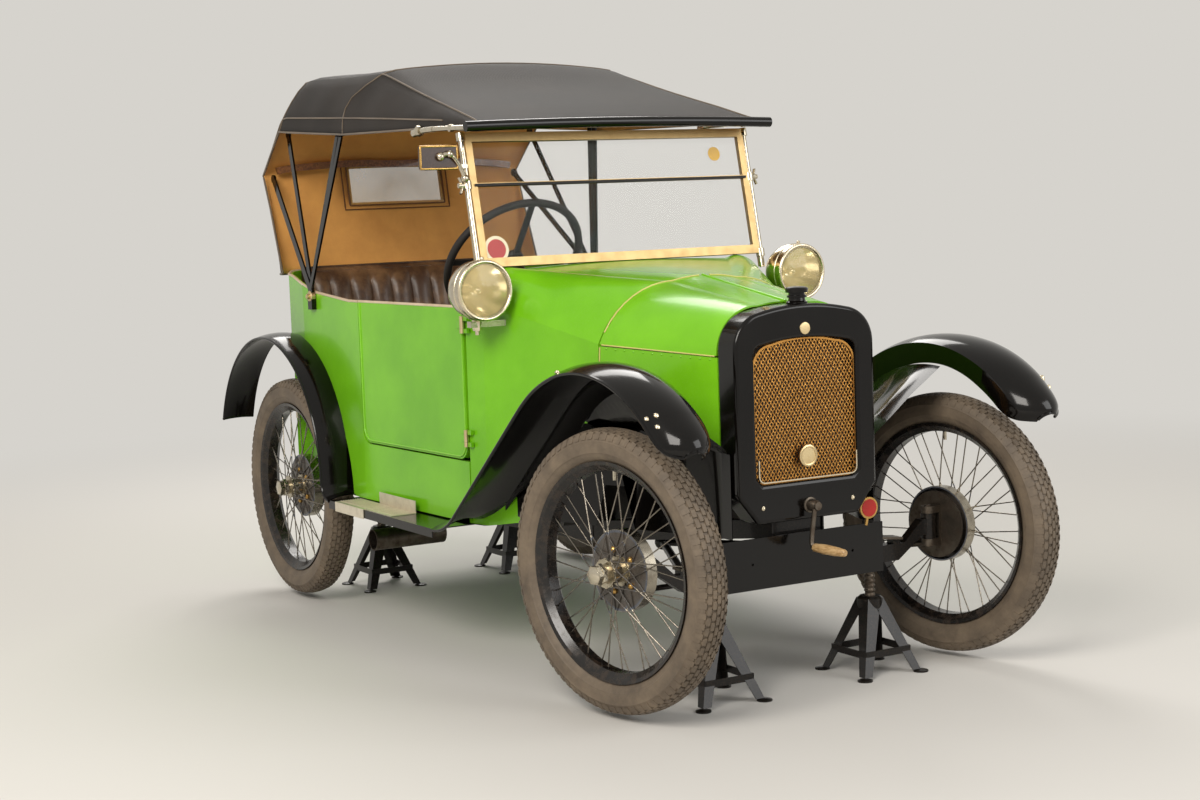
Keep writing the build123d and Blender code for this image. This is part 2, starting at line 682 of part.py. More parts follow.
def mesh_outline(inset, x):
    """Arched opening of the radiator on a cross plane at frame X, taken in by inset."""
    half = mesh_half - inset
    low = place_z + mesh_low + inset
    side = place_z + mesh_side
    shoulder = place_z + mesh_side + 22 - inset
    crown = place_z + mesh_crown - inset
    corner = side + 0.64 * (shoulder - side)
    step = 16 - inset / 2
    with BuildSketch(cross_plane(x)) as opening:
        with BuildLine():
            Line((-half + step, low), (half - step, low))
            Line((half - step, low), (half, low + step))
            Line((half, low + step), (half, side))
            ThreePointArc((half, side), (half - 6, corner), (half - 20, shoulder))
            ThreePointArc((half - 20, shoulder), (0, crown), (20 - half, shoulder))
            ThreePointArc((20 - half, shoulder), (6 - half, corner), (-half, side))
            Line((-half, side), (-half, low + step))
            Line((-half, low + step), (-half + step, low))
        make_face()
    return opening.sketch


with BuildPart() as radiator_shell:
    with BuildSketch(cross_plane(place_x + radiator_front)) as shell_face:
        with BuildLine():
            low = place_z + 405
            Line((-150, low), (150, low))
            Line((150, low), (radiator_half, low + 70))
            Line((radiator_half, low + 70), (radiator_half, place_z + shell_side))
            ThreePointArc((radiator_half, place_z + shell_side), (radiator_half - 24, place_z + shell_shoulder),
                          (radiator_half - 76, place_z + shell_haunch))
            ThreePointArc((radiator_half - 76, place_z + shell_haunch), (0, place_z + radiator_top),
                          (76 - radiator_half, place_z + shell_haunch))
            ThreePointArc((76 - radiator_half, place_z + shell_haunch), (24 - radiator_half, place_z + shell_shoulder),
                          (-radiator_half, place_z + shell_side))
            Line((-radiator_half, place_z + shell_side), (-radiator_half, low + 70))
            Line((-radiator_half, low + 70), (-150, low))
        make_face()
    extrude(amount=-radiator_depth)
    add(mesh_outline(0, place_x + radiator_front + 1))
    extrude(amount=(radiator_depth + 2), dir=(-1, 0, 0), mode=Mode.SUBTRACT)
radiator_shell.part.label = "radiator_shell"
export_step(radiator_shell.part, "parts/radiator_shell.step")

with BuildPart() as radiator_core:
    add(mesh_outline(seat_gap, place_x + radiator_front - 30))
    extrude(amount=42, dir=(-1, 0, 0))
radiator_core.part.label = "radiator_core"
export_step(radiator_core.part, "parts/radiator_core.step")

grille_pitch = 24
grille_bar = 2.4
with BuildPart() as grille_ring:
    add(mesh_outline(seat_gap, place_x + radiator_front - 10))
    extrude(amount=4, dir=(-1, 0, 0))
    add(mesh_outline(8, place_x + radiator_front - 10))
    extrude(amount=4, dir=(-1, 0, 0), mode=Mode.SUBTRACT)
with BuildPart() as radiator_grille:
    bars = []
    for slant in (-1, 1):
        for n in range(-15, 16):
            bar_x = place_x + radiator_front - 11.9 + 0.6 * slant
            with BuildSketch(cross_plane(bar_x), mode=Mode.PRIVATE) as bar:
                with Locations((n * grille_pitch, place_z + 672)):
                    Rectangle(grille_bar, 700, rotation=slant * 32)
            bars.append(extrude(bar.sketch, amount=-1, mode=Mode.PRIVATE))
    add(bars)
    add(mesh_outline(5, place_x + radiator_front - 10))
    extrude(amount=4, dir=(-1, 0, 0), mode=Mode.INTERSECT)
    add(grille_ring.part)
radiator_grille.part.label = "radiator_grille"
export_step(radiator_grille.part, "parts/radiator_grille.step")

with BuildPart() as radiator_cap:
    with Locations((place_x + 1000, 0, place_z + radiator_top + 22)):
        Cylinder(17, 44)
    with Locations((place_x + 1000, 0, place_z + radiator_top + 38)):
        Cylinder(23, 16)
radiator_cap.part.label = "radiator_cap"
export_step(radiator_cap.part, "parts/radiator_cap.step")

with BuildPart() as starting_handle:
    with Locations(Location((place_x + radiator_front + 14, 0, place_z + 440), (0, 90, 0))):
        Cylinder(13, 28)
    with Locations((place_x + radiator_front + 34, 0, place_z + 395)):
        Box(12, 20, 110)
    with Locations(Location((place_x + radiator_front + 80, 0, place_z + 348), (0, 90, 0))):
        Cylinder(12, 100)
starting_handle.part.label = "starting_handle"
export_step(starting_handle.part, "parts/starting_handle.step")

plate_bolts = 300
plate_hole = 3.5
with BuildPart() as number_plate:
    with Locations((place_x + 1002, 0, place_z + 306)):
        Box(4, 490, 125)
    for side in (-1, 1):
        with Locations((place_x + 992.65, side * 60, place_z + 356)):
            Box(14.7, 20, 20)
        with Locations(Location((place_x + 1002, side * plate_bolts / 2, place_z + 306), (0, 90, 0))):
            Cylinder(plate_hole, 8, mode=Mode.SUBTRACT)
number_plate.part.label = "number_plate"
export_step(number_plate.part, "parts/number_plate.step")

# Headlamps on brackets at the scuttle sides
lamp_x = 329
lamp_y = 500
lamp_z = 969
lamp_radius = 77
with BuildPart() as headlamps:
    for side in (-1, 1):
        lamp_at = (place_x + lamp_x, side * lamp_y, place_z + lamp_z)
        with BuildSketch(Plane(origin=lamp_at, x_dir=(0, 1, 0), z_dir=(0, 0, 1))):
            with BuildLine():
                Polyline((0, 105), (0, 101), (24, 98))
                ThreePointArc((24, 98), (58, 70), (lamp_radius - 9, 4))
                Polyline((lamp_radius - 9, 4), (lamp_radius - 9, -12), (lamp_radius, -12),
                         (lamp_radius, 8))
                ThreePointArc((lamp_radius, 8), (62, 76), (26, 105))
                Line((26, 105), (0, 105))
            make_face()
        revolve(axis=Axis(lamp_at, (1, 0, 0)))
        with Locations((place_x + lamp_x - 40, side * (lamp_y - 36), place_z + lamp_z - 88)):
            Box(22, 120, 16)
        with Locations((place_x + lamp_x - 40, side * lamp_y, place_z + lamp_z - 78)):
            Cylinder(10, 34)
    add(body_hull.part, mode=Mode.SUBTRACT)
headlamps.part.label = "headlamps"
export_step(headlamps.part, "parts/headlamps.step")

with BuildPart() as headlamp_glasses:
    for side in (-1, 1):
        with Locations(Location((place_x + lamp_x + 8, side * lamp_y, place_z + lamp_z), (0, 90, 0))):
            Cylinder(lamp_radius - 9 - seat_gap, 4)
headlamp_glasses.part.label = "headlamp_glasses"
export_step(headlamp_glasses.part, "parts/headlamp_glasses.step")

# Windscreen: raked frame in two panes between side stanchions
screen_low = (221, 1024)
screen_high = (145, 1378)
screen_half = 444
screen_rail = 20
screen_tilt = degrees(atan2(screen_low[0] - screen_high[0], screen_high[1] - screen_low[1]))
screen_height = hypot(screen_low[0] - screen_high[0], screen_high[1] - screen_low[1])
screen_split = 222
screen_plane = Plane(origin=(place_x + screen_low[0], 0, place_z + screen_low[1]), x_dir=(0, 1, 0),
                     z_dir=(cos(radians(screen_tilt)), 0, sin(radians(screen_tilt))))
with BuildPart() as windscreen_frame:
    with BuildSketch(screen_plane):
        with Locations((0, screen_height / 2)):
            Rectangle(2 * screen_half, screen_height)
        with Locations((0, (screen_rail + screen_split) / 2)):
            Rectangle(2 * screen_half - 2 * screen_rail, screen_split - screen_rail - 8,
                      mode=Mode.SUBTRACT)
        with Locations((0, (screen_height + screen_split - screen_rail) / 2)):
            Rectangle(2 * screen_half - 2 * screen_rail,
                      screen_height - screen_split - screen_rail - 8, mode=Mode.SUBTRACT)
    extrude(amount=-14)
    for side in (-1, 1):
        rod_plane, rod_length, rod_r = between(
            (place_x + screen_low[0] - 8, side * (screen_half + 6.5), place_z + 985),
            (place_x + screen_high[0] - 8, side * (screen_half + 6.5), place_z + screen_high[1]), 7)
        with BuildSketch(rod_plane):
            Circle(rod_r)
        extrude(amount=rod_length)
    add(body_hull.part, mode=Mode.SUBTRACT)
windscreen_frame.part.label = "windscreen_frame"
export_step(windscreen_frame.part, "parts/windscreen_frame.step")

with BuildPart() as windscreen_glass:
    with BuildSketch(screen_plane.offset(-5)):
        with Locations((0, (screen_rail + screen_split) / 2)):
            Rectangle(2 * screen_half - 2 * screen_rail - 0.6, screen_split - screen_rail - 8.6)
        with Locations((0, (screen_height + screen_split - screen_rail) / 2)):
            Rectangle(2 * screen_half - 2 * screen_rail - 0.6,
                      screen_height - screen_split - screen_rail - 8.6)
    extrude(amount=-4)
windscreen_glass.part.label = "windscreen_glass"
export_step(windscreen_glass.part, "parts/windscreen_glass.step")

with BuildPart() as mirror:
    with Locations((place_x + 170, -535, place_z + 1314)):
        Box(14, 105, 57)
    with Locations((place_x + 168, -470, place_z + 1290)):
        Box(10, 40, 10)
mirror.part.label = "mirror"
export_step(mirror.part, "parts/mirror.step")

# Toe board over the pedals with the gearbox cover
column_top = (place_x - 84, -180, place_z + 1020)
column_foot = (place_x + 640, -190, place_z + 455)
column_radius = 15
tunnel_top = 531
with BuildPart() as toe_boards:
    with BuildSketch(side_plane(330)):
        with BuildLine():
            Polyline(at(153, 347), at(400, 347), at(560, 561), at(552, 561), at(396, 355), at(153, 355),
                     at(153, 347))
        make_face()
    extrude(amount=660)
    with Locations((place_x + 340, 0, place_z + (347 + tunnel_top) / 2)):
        Box(380, 220, tunnel_top - 347)
    with Locations((place_x + 355, 0, place_z + 432)):
        Box(412, 208, 184, mode=Mode.SUBTRACT)
    hole_plane, hole_run, hole_radius = between(column_foot, column_top, column_radius + seat_gap)
    with BuildSketch(hole_plane):
        Circle(hole_radius)
    extrude(amount=hole_run, mode=Mode.SUBTRACT)

# Dashboard across the scuttle
with BuildPart() as dashboard:
    with Locations((place_x + 196, 0, place_z + 925)):
        Box(12, 850, 110)
    for y, radius in ((-60, 36), (40, 30), (120, 24)):
        with Locations(Location((place_x + 187, y, place_z + 930), (0, 90, 0))):
            Cylinder(radius, 8)
    with Locations((place_x + 196, -183.5, place_z + 830)):
        Box(12, 46, 90)
    with BuildSketch(hole_plane):
        Circle(hole_radius)
    extrude(amount=hole_run, mode=Mode.SUBTRACT)
    add(scuttle.part, mode=Mode.SUBTRACT)
    add(toe_boards.part)
dashboard.part.label = "dash_and_toe_boards"
export_step(dashboard.part, "parts/dash_and_toe_boards.step")

# Seats: two front buckets and a full width rear bench
with BuildPart() as seats:
    for side in (-1, 1):
        with Locations((place_x - 130, side * 215, place_z + 500)):
            Box(420, 370, 100)
        with BuildSketch(side_plane(side * 215 + 185)):
            with BuildLine():
                Polyline(at(-380, 455), at(-290, 455), at(-330, 860), at(-400, 860), at(-380, 455))
            make_face()
        extrude(amount=370)
        with Locations((place_x - 130, side * 215, place_z + 402.65)):
            Box(360, 300, 96.7)
    with Locations((place_x - 880, 0, place_z + 524.8)):
        Box(340, 840, 101)
    with BuildSketch(side_plane(396)):
        with BuildLine():
            Polyline(at(-1070, 474.5), at(-980, 474.5), at(-1045, 1000), at(-1135, 1000), at(-1070, 474.5))
        make_face()
    extrude(amount=792)
seats.part.label = "seats"
export_step(seats.part, "parts/seats.step")

# Hood: cloth over header, main bow, rear bow and lower rear bow
hood_cloth = 5
hood_bows = [
    dict(x_low=227, z_low=1380, y_low=452, x_top=226, z_top=1398, y_top=440, crown=1404),
    dict(x_low=-606, z_low=1405, y_low=462, x_top=-418, z_top=1585, y_top=395, crown=1602),
    dict(x_low=-1104, z_low=1432, y_low=462, x_top=-1011, z_top=1600, y_top=395, crown=1616),
]


def bow_section(row, depth):
    """Closed outline of the hood at one bow, taken in by depth on top and sides."""
    lean = Vector(row["x_top"] - row["x_low"], 0, row["z_top"] - row["z_low"]).normalized()
    origin = (place_x + row["x_low"], 0, place_z + row["z_low"])
    height = hypot(row["x_top"] - row["x_low"], row["z_top"] - row["z_low"])
    arch = height * (row["crown"] - row["z_low"]) / (row["z_top"] - row["z_low"])
    bow_plane = Plane(origin=origin, x_dir=(0, 1, 0), z_dir=Vector(0, 1, 0).cross(lean))
    low = -20 if depth else 0
    with BuildSketch(bow_plane) as bow:
        with BuildLine():
            Line((-row["y_low"] + depth, low), (row["y_low"] - depth, low))
            Line((row["y_low"] - depth, low), (row["y_top"] - depth, height - depth))
            ThreePointArc((row["y_top"] - depth, height - depth), (0, arch - depth),
                          (depth - row["y_top"], height - depth))
            Line((depth - row["y_top"], height - depth), (depth - row["y_low"], low))
        make_face()
    return bow.sketch


with BuildPart() as hood_cover:
    for first, second in zip(hood_bows, hood_bows[1:]):
        add(bow_section(first, 0))
        add(bow_section(second, 0))
        loft(ruled=True)
    for n, (first, second) in enumerate(zip(hood_bows, hood_bows[1:])):
        add(bow_section(first, hood_cloth))
        add(bow_section(second, hood_cloth))
        loft(ruled=True, mode=Mode.SUBTRACT)
    with BuildSketch(side_plane(463)):
        with BuildLine():
            Polyline(at(-1000, 1612), at(-1100, 1440), at(-1270, 1316), at(-1204, 1012), at(-1198, 1012),
                     at(-1262, 1318), at(-1092, 1432), at(-994, 1600), at(-1000, 1612))
        make_face()
    extrude(amount=926)
hood_cover.part.label = "hood_cover"
export_step(hood_cover.part, "parts/hood_cover.step")

# Hood irons: flat strips from one pivot each side up to the bows
pivot = dict(x=-840, y=502.3, z=945)
iron_ends = [
    dict(x=-592, z=1436, y=432),
    dict(x=-564, z=1436, y=432),
    dict(x=-1070, z=1430, y=434),
    dict(x=-1236, z=1312, y=440),
]
with BuildPart() as hood_irons:
    for side in (-1, 1):
        for n, end in enumerate(iron_ends):
            iron_plane, iron_length, iron_half = between(
                (place_x + pivot["x"] + n * 3, side * pivot["y"], place_z + pivot["z"]),
                (place_x + end["x"], side * end["y"], place_z + end["z"]), 8)
            with BuildSketch(iron_plane):
                Circle(iron_half)
            extrude(amount=iron_length)
        pivot_place = (place_x + pivot["x"], side * pivot["y"], place_z + pivot["z"] - 10)
        with Locations(Location(pivot_place, (90, 0, 0))):
            Cylinder(22, 18)
    with Locations((place_x - 575, 0, place_z + 1440)):
        Box(20, 860, 14)
hood_irons.part.label = "hood_irons"
export_step(hood_irons.part, "parts/hood_irons.step")

# Steering column and box
with BuildPart() as steering_column:
    column_plane, column_length, column_r = between(column_foot, column_top, column_radius)
    with BuildSketch(column_plane):
        Circle(column_r)
    extrude(amount=column_length)
    with Locations(column_foot):
        Box(90, 70, 80)
steering_column.part.label = "steering_column"
export_step(steering_column.part, "parts/steering_column.step")

wheel_rim = 200
rim_thick = 11
wheel_axis = (Vector(*column_top) - Vector(*column_foot)).normalized()
wheel_centre = Vector(*column_top) + wheel_axis * (14 + seat_gap)
with BuildPart() as steering_wheel:
    wheel_plane = Plane(origin=wheel_centre, x_dir=(0, 1, 0), z_dir=wheel_axis)
    with BuildSketch(Plane(origin=wheel_centre, x_dir=(0, 1, 0),
                           z_dir=Vector(0, 1, 0).cross(wheel_axis))):
        with Locations((wheel_rim, 0)):
            Circle(rim_thick)
    revolve(axis=Axis(wheel_centre, wheel_axis))
    with BuildSketch(wheel_plane.offset(-14)):
        Circle(30)
    extrude(amount=24)
    with BuildSketch(wheel_plane.offset(-3)):
        Rectangle(2 * wheel_rim - 4, 18)
        Rectangle(18, 2 * wheel_rim - 4)
    extrude(amount=5)
steering_wheel.part.label = "steering_wheel"
export_step(steering_wheel.part, "parts/steering_wheel.step")

with BuildPart() as levers:
    for y, x, reach, top in ((0, 250, 150, 760), (74, 200, 120, 740)):
        with Locations((place_x + x, y, place_z + tunnel_top + seat_gap + 3)):
            Box(54, 44, 6)
        lever_plane, lever_length, lever_r = between((place_x + x, y, place_z + 535),
                                                     (place_x + x - reach, y, place_z + top), 7)
        with BuildSketch(lever_plane):
            Circle(lever_r)
        extrude(amount=lever_length)
        with Locations((place_x + x - reach, y, place_z + top)):
            Cylinder(15, 26)
levers.part.label = "levers"
export_step(levers.part, "parts/levers.step")

# Exhaust: silencer across the car with its tail open to the right
with BuildPart() as exhaust:
    with Locations(Location((place_x - 560, -330, place_z + 200), (90, 0, -24))):
        Cylinder(32, 230)
    with Locations(Location((place_x - 560, -330, place_z + 200), (90, 0, -24))):
        Cylinder(28, 240, mode=Mode.SUBTRACT)
    with Locations((place_x - 540, -326, place_z + 252.7)):
        Box(24, 6, 66)
exhaust.part.label = "exhaust"
export_step(exhaust.part, "parts/exhaust.step")

# Wheels and tyres
spoke_count = 20
spoke_radius = 1.6
hub_barrel = 27
flange_radius = 34
wheel_rows = [
    dict(name="front_right", x=front_x, side=-1, angle=steer_angle),
    dict(name="front_left", x=front_x, side=1, angle=steer_angle),
    dict(name="rear_right", x=rear_x, side=-1, angle=0),
    dict(name="rear_left", x=rear_x, side=1, angle=0),
]
for row in wheel_rows:
    name, x, side, angle = row["name"], row["x"], row["side"], row["angle"]
    turn = radians(angle)
    forward = Vector(cos(turn), sin(turn), 0)
    outward = Vector(-side * sin(turn), side * cos(turn), 0)
    if angle:
        pin = Vector(x, side * kingpin_y, hub_z)
        hub = pin + outward * kingpin_offset
    else:
        hub = Vector(x, side * hub_y, hub_z)
    turned = Plane(origin=hub, x_dir=forward, z_dir=forward.cross(outward))
    spin = Axis(hub, outward)
    with BuildPart() as tyre:
        with BuildSketch(turned):
            with BuildLine():
                half = tyre_width / 2
                tread = 31
                Line((rim_radius - 10, -20), (rim_radius, -26))
                ThreePointArc((rim_radius, -26), (298, -half), (tyre_radius - 7, -tread))
                ThreePointArc((tyre_radius - 7, -tread), (tyre_radius, 0), (tyre_radius - 7, tread))
                ThreePointArc((tyre_radius - 7, tread), (298, half), (rim_radius, 26))
                Line((rim_radius, 26), (rim_radius - 10, 20))
                Line((rim_radius - 10, 20), (rim_radius - 10, -20))
            make_face()
        revolve(axis=spin)
    tyre.part.label = "tyre_" + name
    export_step(tyre.part, "parts/tyre_" + name + ".step")
    with BuildPart() as wheel:
        with BuildSketch(turned):
            with BuildLine():
                base = rim_radius - 10 - seat_gap
                Polyline((base, -20), (rim_radius - 1, -28), (rim_radius - 1, -32), (rim_radius - 10, -29),
                         (base - 14, -15), (base - 14, 15), (rim_radius - 10, 29), (rim_radius - 1, 32),
                         (rim_radius - 1, 28), (base, 20), (base, -20))
            make_face()
            with BuildLine():
                bore = stub_radius + turn_gap
                face_w = drum_inner_w + drum_depth
                Polyline((bore, face_w - 4), (drum_radius, face_w - 4), (drum_radius, drum_inner_w),
                         (drum_radius + 4, drum_inner_w), (drum_radius + 4, face_w),
                         (flange_radius, face_w), (flange_radius, face_w + 6), (hub_barrel, face_w + 6),
                         (hub_barrel, 36), (flange_radius, 36), (flange_radius, 41), (22, 41), (22, 62),
                         (bore, 62), (bore, face_w - 4))
            make_face()
        revolve(axis=spin)
        with BuildSketch(Plane(origin=hub + outward * 60, x_dir=forward, z_dir=outward)):
            RegularPolygon(24, 6)
        extrude(amount=14)
        spokes = []
        for n in range(2 * spoke_count):
            phase = 2 * pi * n / (2 * spoke_count)
            lean = radians(62) * (1 if n % 4 < 2 else -1)
            wide = 38 if n % 2 else -3
            start_turn = phase + lean
            up = outward.cross(forward)
            start = (hub + forward * (flange_radius - 3) * cos(start_turn)
                     + up * (flange_radius - 3) * sin(start_turn) + outward * wide)
            end = (hub + forward * (rim_radius - 20) * cos(phase) + up * (rim_radius - 20) * sin(phase)
                   + outward * (6 if n % 2 else -6))
            run = end - start
            with BuildSketch(Plane(origin=start, z_dir=run.normalized()), mode=Mode.PRIVATE) as spoke_end:
                Circle(spoke_radius)
            spokes.append(extrude(spoke_end.sketch, amount=run.length, mode=Mode.PRIVATE))
        add(spokes)
    wheel.part.label = "wheel_" + name
    export_step(wheel.part, "parts/wheel_" + name + ".step")

# Knuckles with stub axles, back plates and steering arms
arm_reach = 130
arm_drop = 44
arm_fall = 24
for name, side in (("knuckle_right", -1), ("knuckle_left", 1)):
    turn = radians(steer_angle)
    forward = Vector(cos(turn), sin(turn), 0)
    outward = Vector(-side * sin(turn), side * cos(turn), 0)
    pin = Vector(front_x, side * kingpin_y, hub_z)
    with BuildPart() as knuckle:
        with Locations(pin):
            Cylinder(kingpin_radius, eye_height + 44)
        for up in (-1, 1):
            with Locations(pin + Vector(0, 0, up * (eye_height / 2 + 10))):
                Cylinder(17, 18)
        with BuildSketch(Plane(origin=pin + outward * (eye_radius + 5), x_dir=forward, z_dir=outward)):
            Rectangle(34, eye_height + 38)
        extrude(amount=8)
        for up in (-1, 1):
            with BuildSketch(Plane(origin=pin + Vector(0, 0, up * (eye_height / 2 + 1)), x_dir=outward,
                                   z_dir=(0, 0, 1))):
                with Locations(((eye_radius + 13) / 2, 0)):
                    Rectangle(eye_radius + 13, 34)
            extrude(amount=up * 18)
        with BuildSketch(Plane(origin=pin + outward * (eye_radius + 6), x_dir=forward, z_dir=outward)):
            Circle(stub_radius)
        extrude(amount=kingpin_offset + 50 - eye_radius - 6)
        with BuildSketch(Plane(origin=pin + outward * (kingpin_offset + back_plate_w - 4), x_dir=forward,
                               z_dir=outward)):
            Circle(drum_radius - 7)
        extrude(amount=4)
        arm_start = pin + Vector(0, 0, -arm_drop)
        arm_end = pin - forward * arm_reach + Vector(0, 0, -arm_drop - arm_fall)
        arm_plane, arm_length, arm_r = between(arm_start, arm_end, 8)
        with BuildSketch(arm_plane):
            Circle(arm_r)
        extrude(amount=arm_length)
        with Locations(arm_end):
            Cylinder(11, 20)
        with Locations(arm_end + Vector(0, 0, -16)):
            Cylinder(5, 26)
    knuckle.part.label = name
    export_step(knuckle.part, "parts/" + name + ".step")

# Track rod between the steering arms, the eye at its left end bored wide
rod_drop = 10 + seat_gap + 8
rod_bores = [dict(side=-1, bore=5 + seat_gap), dict(side=1, bore=6.5)]
ends = []
for side in (-1, 1):
    turn = radians(steer_angle)
    forward = Vector(cos(turn), sin(turn), 0)
    pin = Vector(front_x, side * kingpin_y, hub_z)
    ends.append(pin - forward * arm_reach + Vector(0, 0, -arm_drop - arm_fall - rod_drop))
with BuildPart() as track_rod:
    run = ends[1] - ends[0]
    with BuildSketch(Plane(origin=ends[0], z_dir=run.normalized())):
        Circle(7)
    extrude(amount=run.length)
    for end in ends:
        with Locations(end):
            Cylinder(14, 16)
    for end, row in zip(ends, rod_bores):
        with Locations(end):
            Cylinder(row["bore"], 20, mode=Mode.SUBTRACT)
track_rod.part.label = "track_rod"
export_step(track_rod.part, "parts/track_rod.step")

# Axle stands: four spread legs on feet, a ring, a post and a saddle
stand_spread = 100
leg_foot = 8
stand_places = [
    dict(x=front_x, y=240, top=hub_z - 75),
    dict(x=rear_x, y=240, top=hub_z - 27),
]
with BuildPart() as axle_stands:
    for place in stand_places:
        for side in (-1, 1):
            middle = Vector(place["x"], side * place["y"], 0)
            for along in (-1, 1):
                for across in (-1, 1):
                    leg_plane, leg_length, leg_r = between(
                        middle + Vector(along * stand_spread, across * stand_spread, leg_foot),
                        middle + Vector(along * 16, across * 16, 190), 9)
                    with BuildSketch(leg_plane):
                        Rectangle(2 * leg_r, 2 * leg_r)
                    extrude(amount=leg_length)
                    with Locations(middle + Vector(along * stand_spread, across * stand_spread, 3)):
                        Box(34, 34, 6)
            with Locations(middle + Vector(0, 0, 170)):
                Box(62, 62, 46)
            with Locations(middle + Vector(0, 0, (place["top"] + 110) / 2)):
                Cylinder(14, place["top"] - 110)
            with Locations(middle + Vector(0, 0, place["top"] - 5)):
                Box(56, 44, 10)
axle_stands.part.label = "axle_stands"
export_step(axle_stands.part, "parts/axle_stands.step")
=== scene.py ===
import math

import bmesh
import bpy
import numpy as np
from mathutils import Matrix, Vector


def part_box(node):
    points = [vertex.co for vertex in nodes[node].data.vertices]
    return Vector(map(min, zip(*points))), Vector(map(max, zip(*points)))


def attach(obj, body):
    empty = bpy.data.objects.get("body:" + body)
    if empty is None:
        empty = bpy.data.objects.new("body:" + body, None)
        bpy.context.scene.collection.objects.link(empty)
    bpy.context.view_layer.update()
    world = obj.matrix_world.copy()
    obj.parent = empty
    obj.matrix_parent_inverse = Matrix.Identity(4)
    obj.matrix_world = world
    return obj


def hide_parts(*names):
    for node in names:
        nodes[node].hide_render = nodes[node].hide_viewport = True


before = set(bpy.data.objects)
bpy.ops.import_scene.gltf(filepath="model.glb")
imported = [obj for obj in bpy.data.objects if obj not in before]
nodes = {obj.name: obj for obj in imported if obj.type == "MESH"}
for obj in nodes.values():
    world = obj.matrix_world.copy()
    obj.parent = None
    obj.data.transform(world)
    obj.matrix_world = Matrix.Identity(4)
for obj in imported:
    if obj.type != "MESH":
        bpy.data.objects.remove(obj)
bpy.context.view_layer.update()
print("car: frame loaded with", len(nodes), "CAD nodes")

# stations count from the middle of the wheelbase, heights from the road, both in mm
place = {"forward": 43.2, "left": 0.0, "up": 19.0}
layout = {
    "frontX": 952.5, "rearX": -952.5, "hubY": 508.0, "kingpinY": 433.0, "kingpinOffset": 75.0,
    "hubZ": 330.0, "steerAngle": 11.0,
}


def placed(points):
    # road stations in mm to the frame in metres
    shift = np.array([place["forward"], place["left"], place["up"]])
    return (np.asarray(points, float) + shift) / 1000.0


def hexLinear(text, alpha=1.0):
    # sRGB hex to the linear values the shader takes
    channels = [int(text[i:i + 2], 16) / 255.0 for i in (1, 3, 5)]
    linear = [c / 12.92 if c <= 0.04045 else ((c + 0.055) / 1.055) ** 2.4 for c in channels]
    return (*linear, alpha)


def addNode(tree, kind, settings=None, values=None, links=None):
    # one node, its settings, its socket values, and what feeds its sockets
    node = tree.nodes.new(kind)
    for key, value in (settings or {}).items():
        setattr(node, key, value)
    for key, value in (values or {}).items():
        node.inputs[key].default_value = value
    for key, source in (links or {}).items():
        tree.links.new(source, node.inputs[key])
    return node


def setRamp(node, stops):
    # stops are (position, colour) pairs from left to right
    ramp = node.color_ramp
    while len(ramp.elements) < len(stops):
        ramp.elements.new(0.5)
    for element, (position, colour) in zip(ramp.elements, stops):
        element.position = position
        element.color = colour
    return node


def newFinish(name):
    finish = bpy.data.materials.new(name)
    finish.use_nodes = True
    finish.node_tree.nodes.clear()
    return finish, finish.node_tree


def closeFinish(finish, tree, shader):
    addNode(tree, "ShaderNodeOutputMaterial", links={"Surface": shader.outputs[0]})
    return finish


# finishes

enamelLook = {"peelSize": 3.0, "peelDepth": 0.00006, "driftSize": 260.0}


def coachEnamel(name, shade, deep, dustShade, roughness, dusty, shine=0.32):
    # brushed and flatted coach enamel: deep wet gloss, a faint orange peel, dust that dulls it in drifts
    finish, tree = newFinish(name)
    coords = addNode(tree, "ShaderNodeTexCoord").outputs["Object"]
    drift = addNode(tree, "ShaderNodeTexNoise",
                    values={"Scale": 1000.0 / enamelLook["driftSize"], "Detail": 4.0, "Roughness": 0.55},
                    links={"Vector": coords})
    tint = setRamp(addNode(tree, "ShaderNodeValToRGB", links={"Fac": drift.outputs["Fac"]}),
                   [(0.35, hexLinear(deep)), (0.68, hexLinear(shade))])
    speck = addNode(tree, "ShaderNodeTexNoise", values={"Scale": 220.0, "Detail": 3.0},
                    links={"Vector": coords})
    film = setRamp(addNode(tree, "ShaderNodeValToRGB", links={"Fac": speck.outputs["Fac"]}),
                   [(0.45, (0, 0, 0, 1)), (0.8, (dusty, dusty, dusty, 1))])
    colour = addNode(tree, "ShaderNodeMix", {"data_type": "RGBA"}, {"B": hexLinear(dustShade)},
                     {"Factor": film.outputs["Color"], "A": tint.outputs["Color"]})
    gloss = addNode(tree, "ShaderNodeMapRange",
                    values={"From Min": 0.3, "From Max": 0.75,
                            "To Min": roughness, "To Max": roughness + 0.10},
                    links={"Value": drift.outputs["Fac"]})
    peel = addNode(tree, "ShaderNodeTexNoise",
                   values={"Scale": 1000.0 / enamelLook["peelSize"], "Detail": 1.0},
                   links={"Vector": coords})
    bump = addNode(tree, "ShaderNodeBump", values={"Strength": 0.05, "Distance": enamelLook["peelDepth"]},
                   links={"Height": peel.outputs["Fac"]})
    paint = addNode(tree, "ShaderNodeBsdfPrincipled",
                    values={"IOR": 1.5, "Coat Weight": 0.2, "Coat Roughness": 0.05,
                            "Specular IOR Level": shine},
                    links={"Base Color": colour.outputs["Result"], "Roughness": gloss.outputs["Result"],
                           "Normal": bump.outputs["Normal"]})
    return closeFinish(finish, tree, paint)


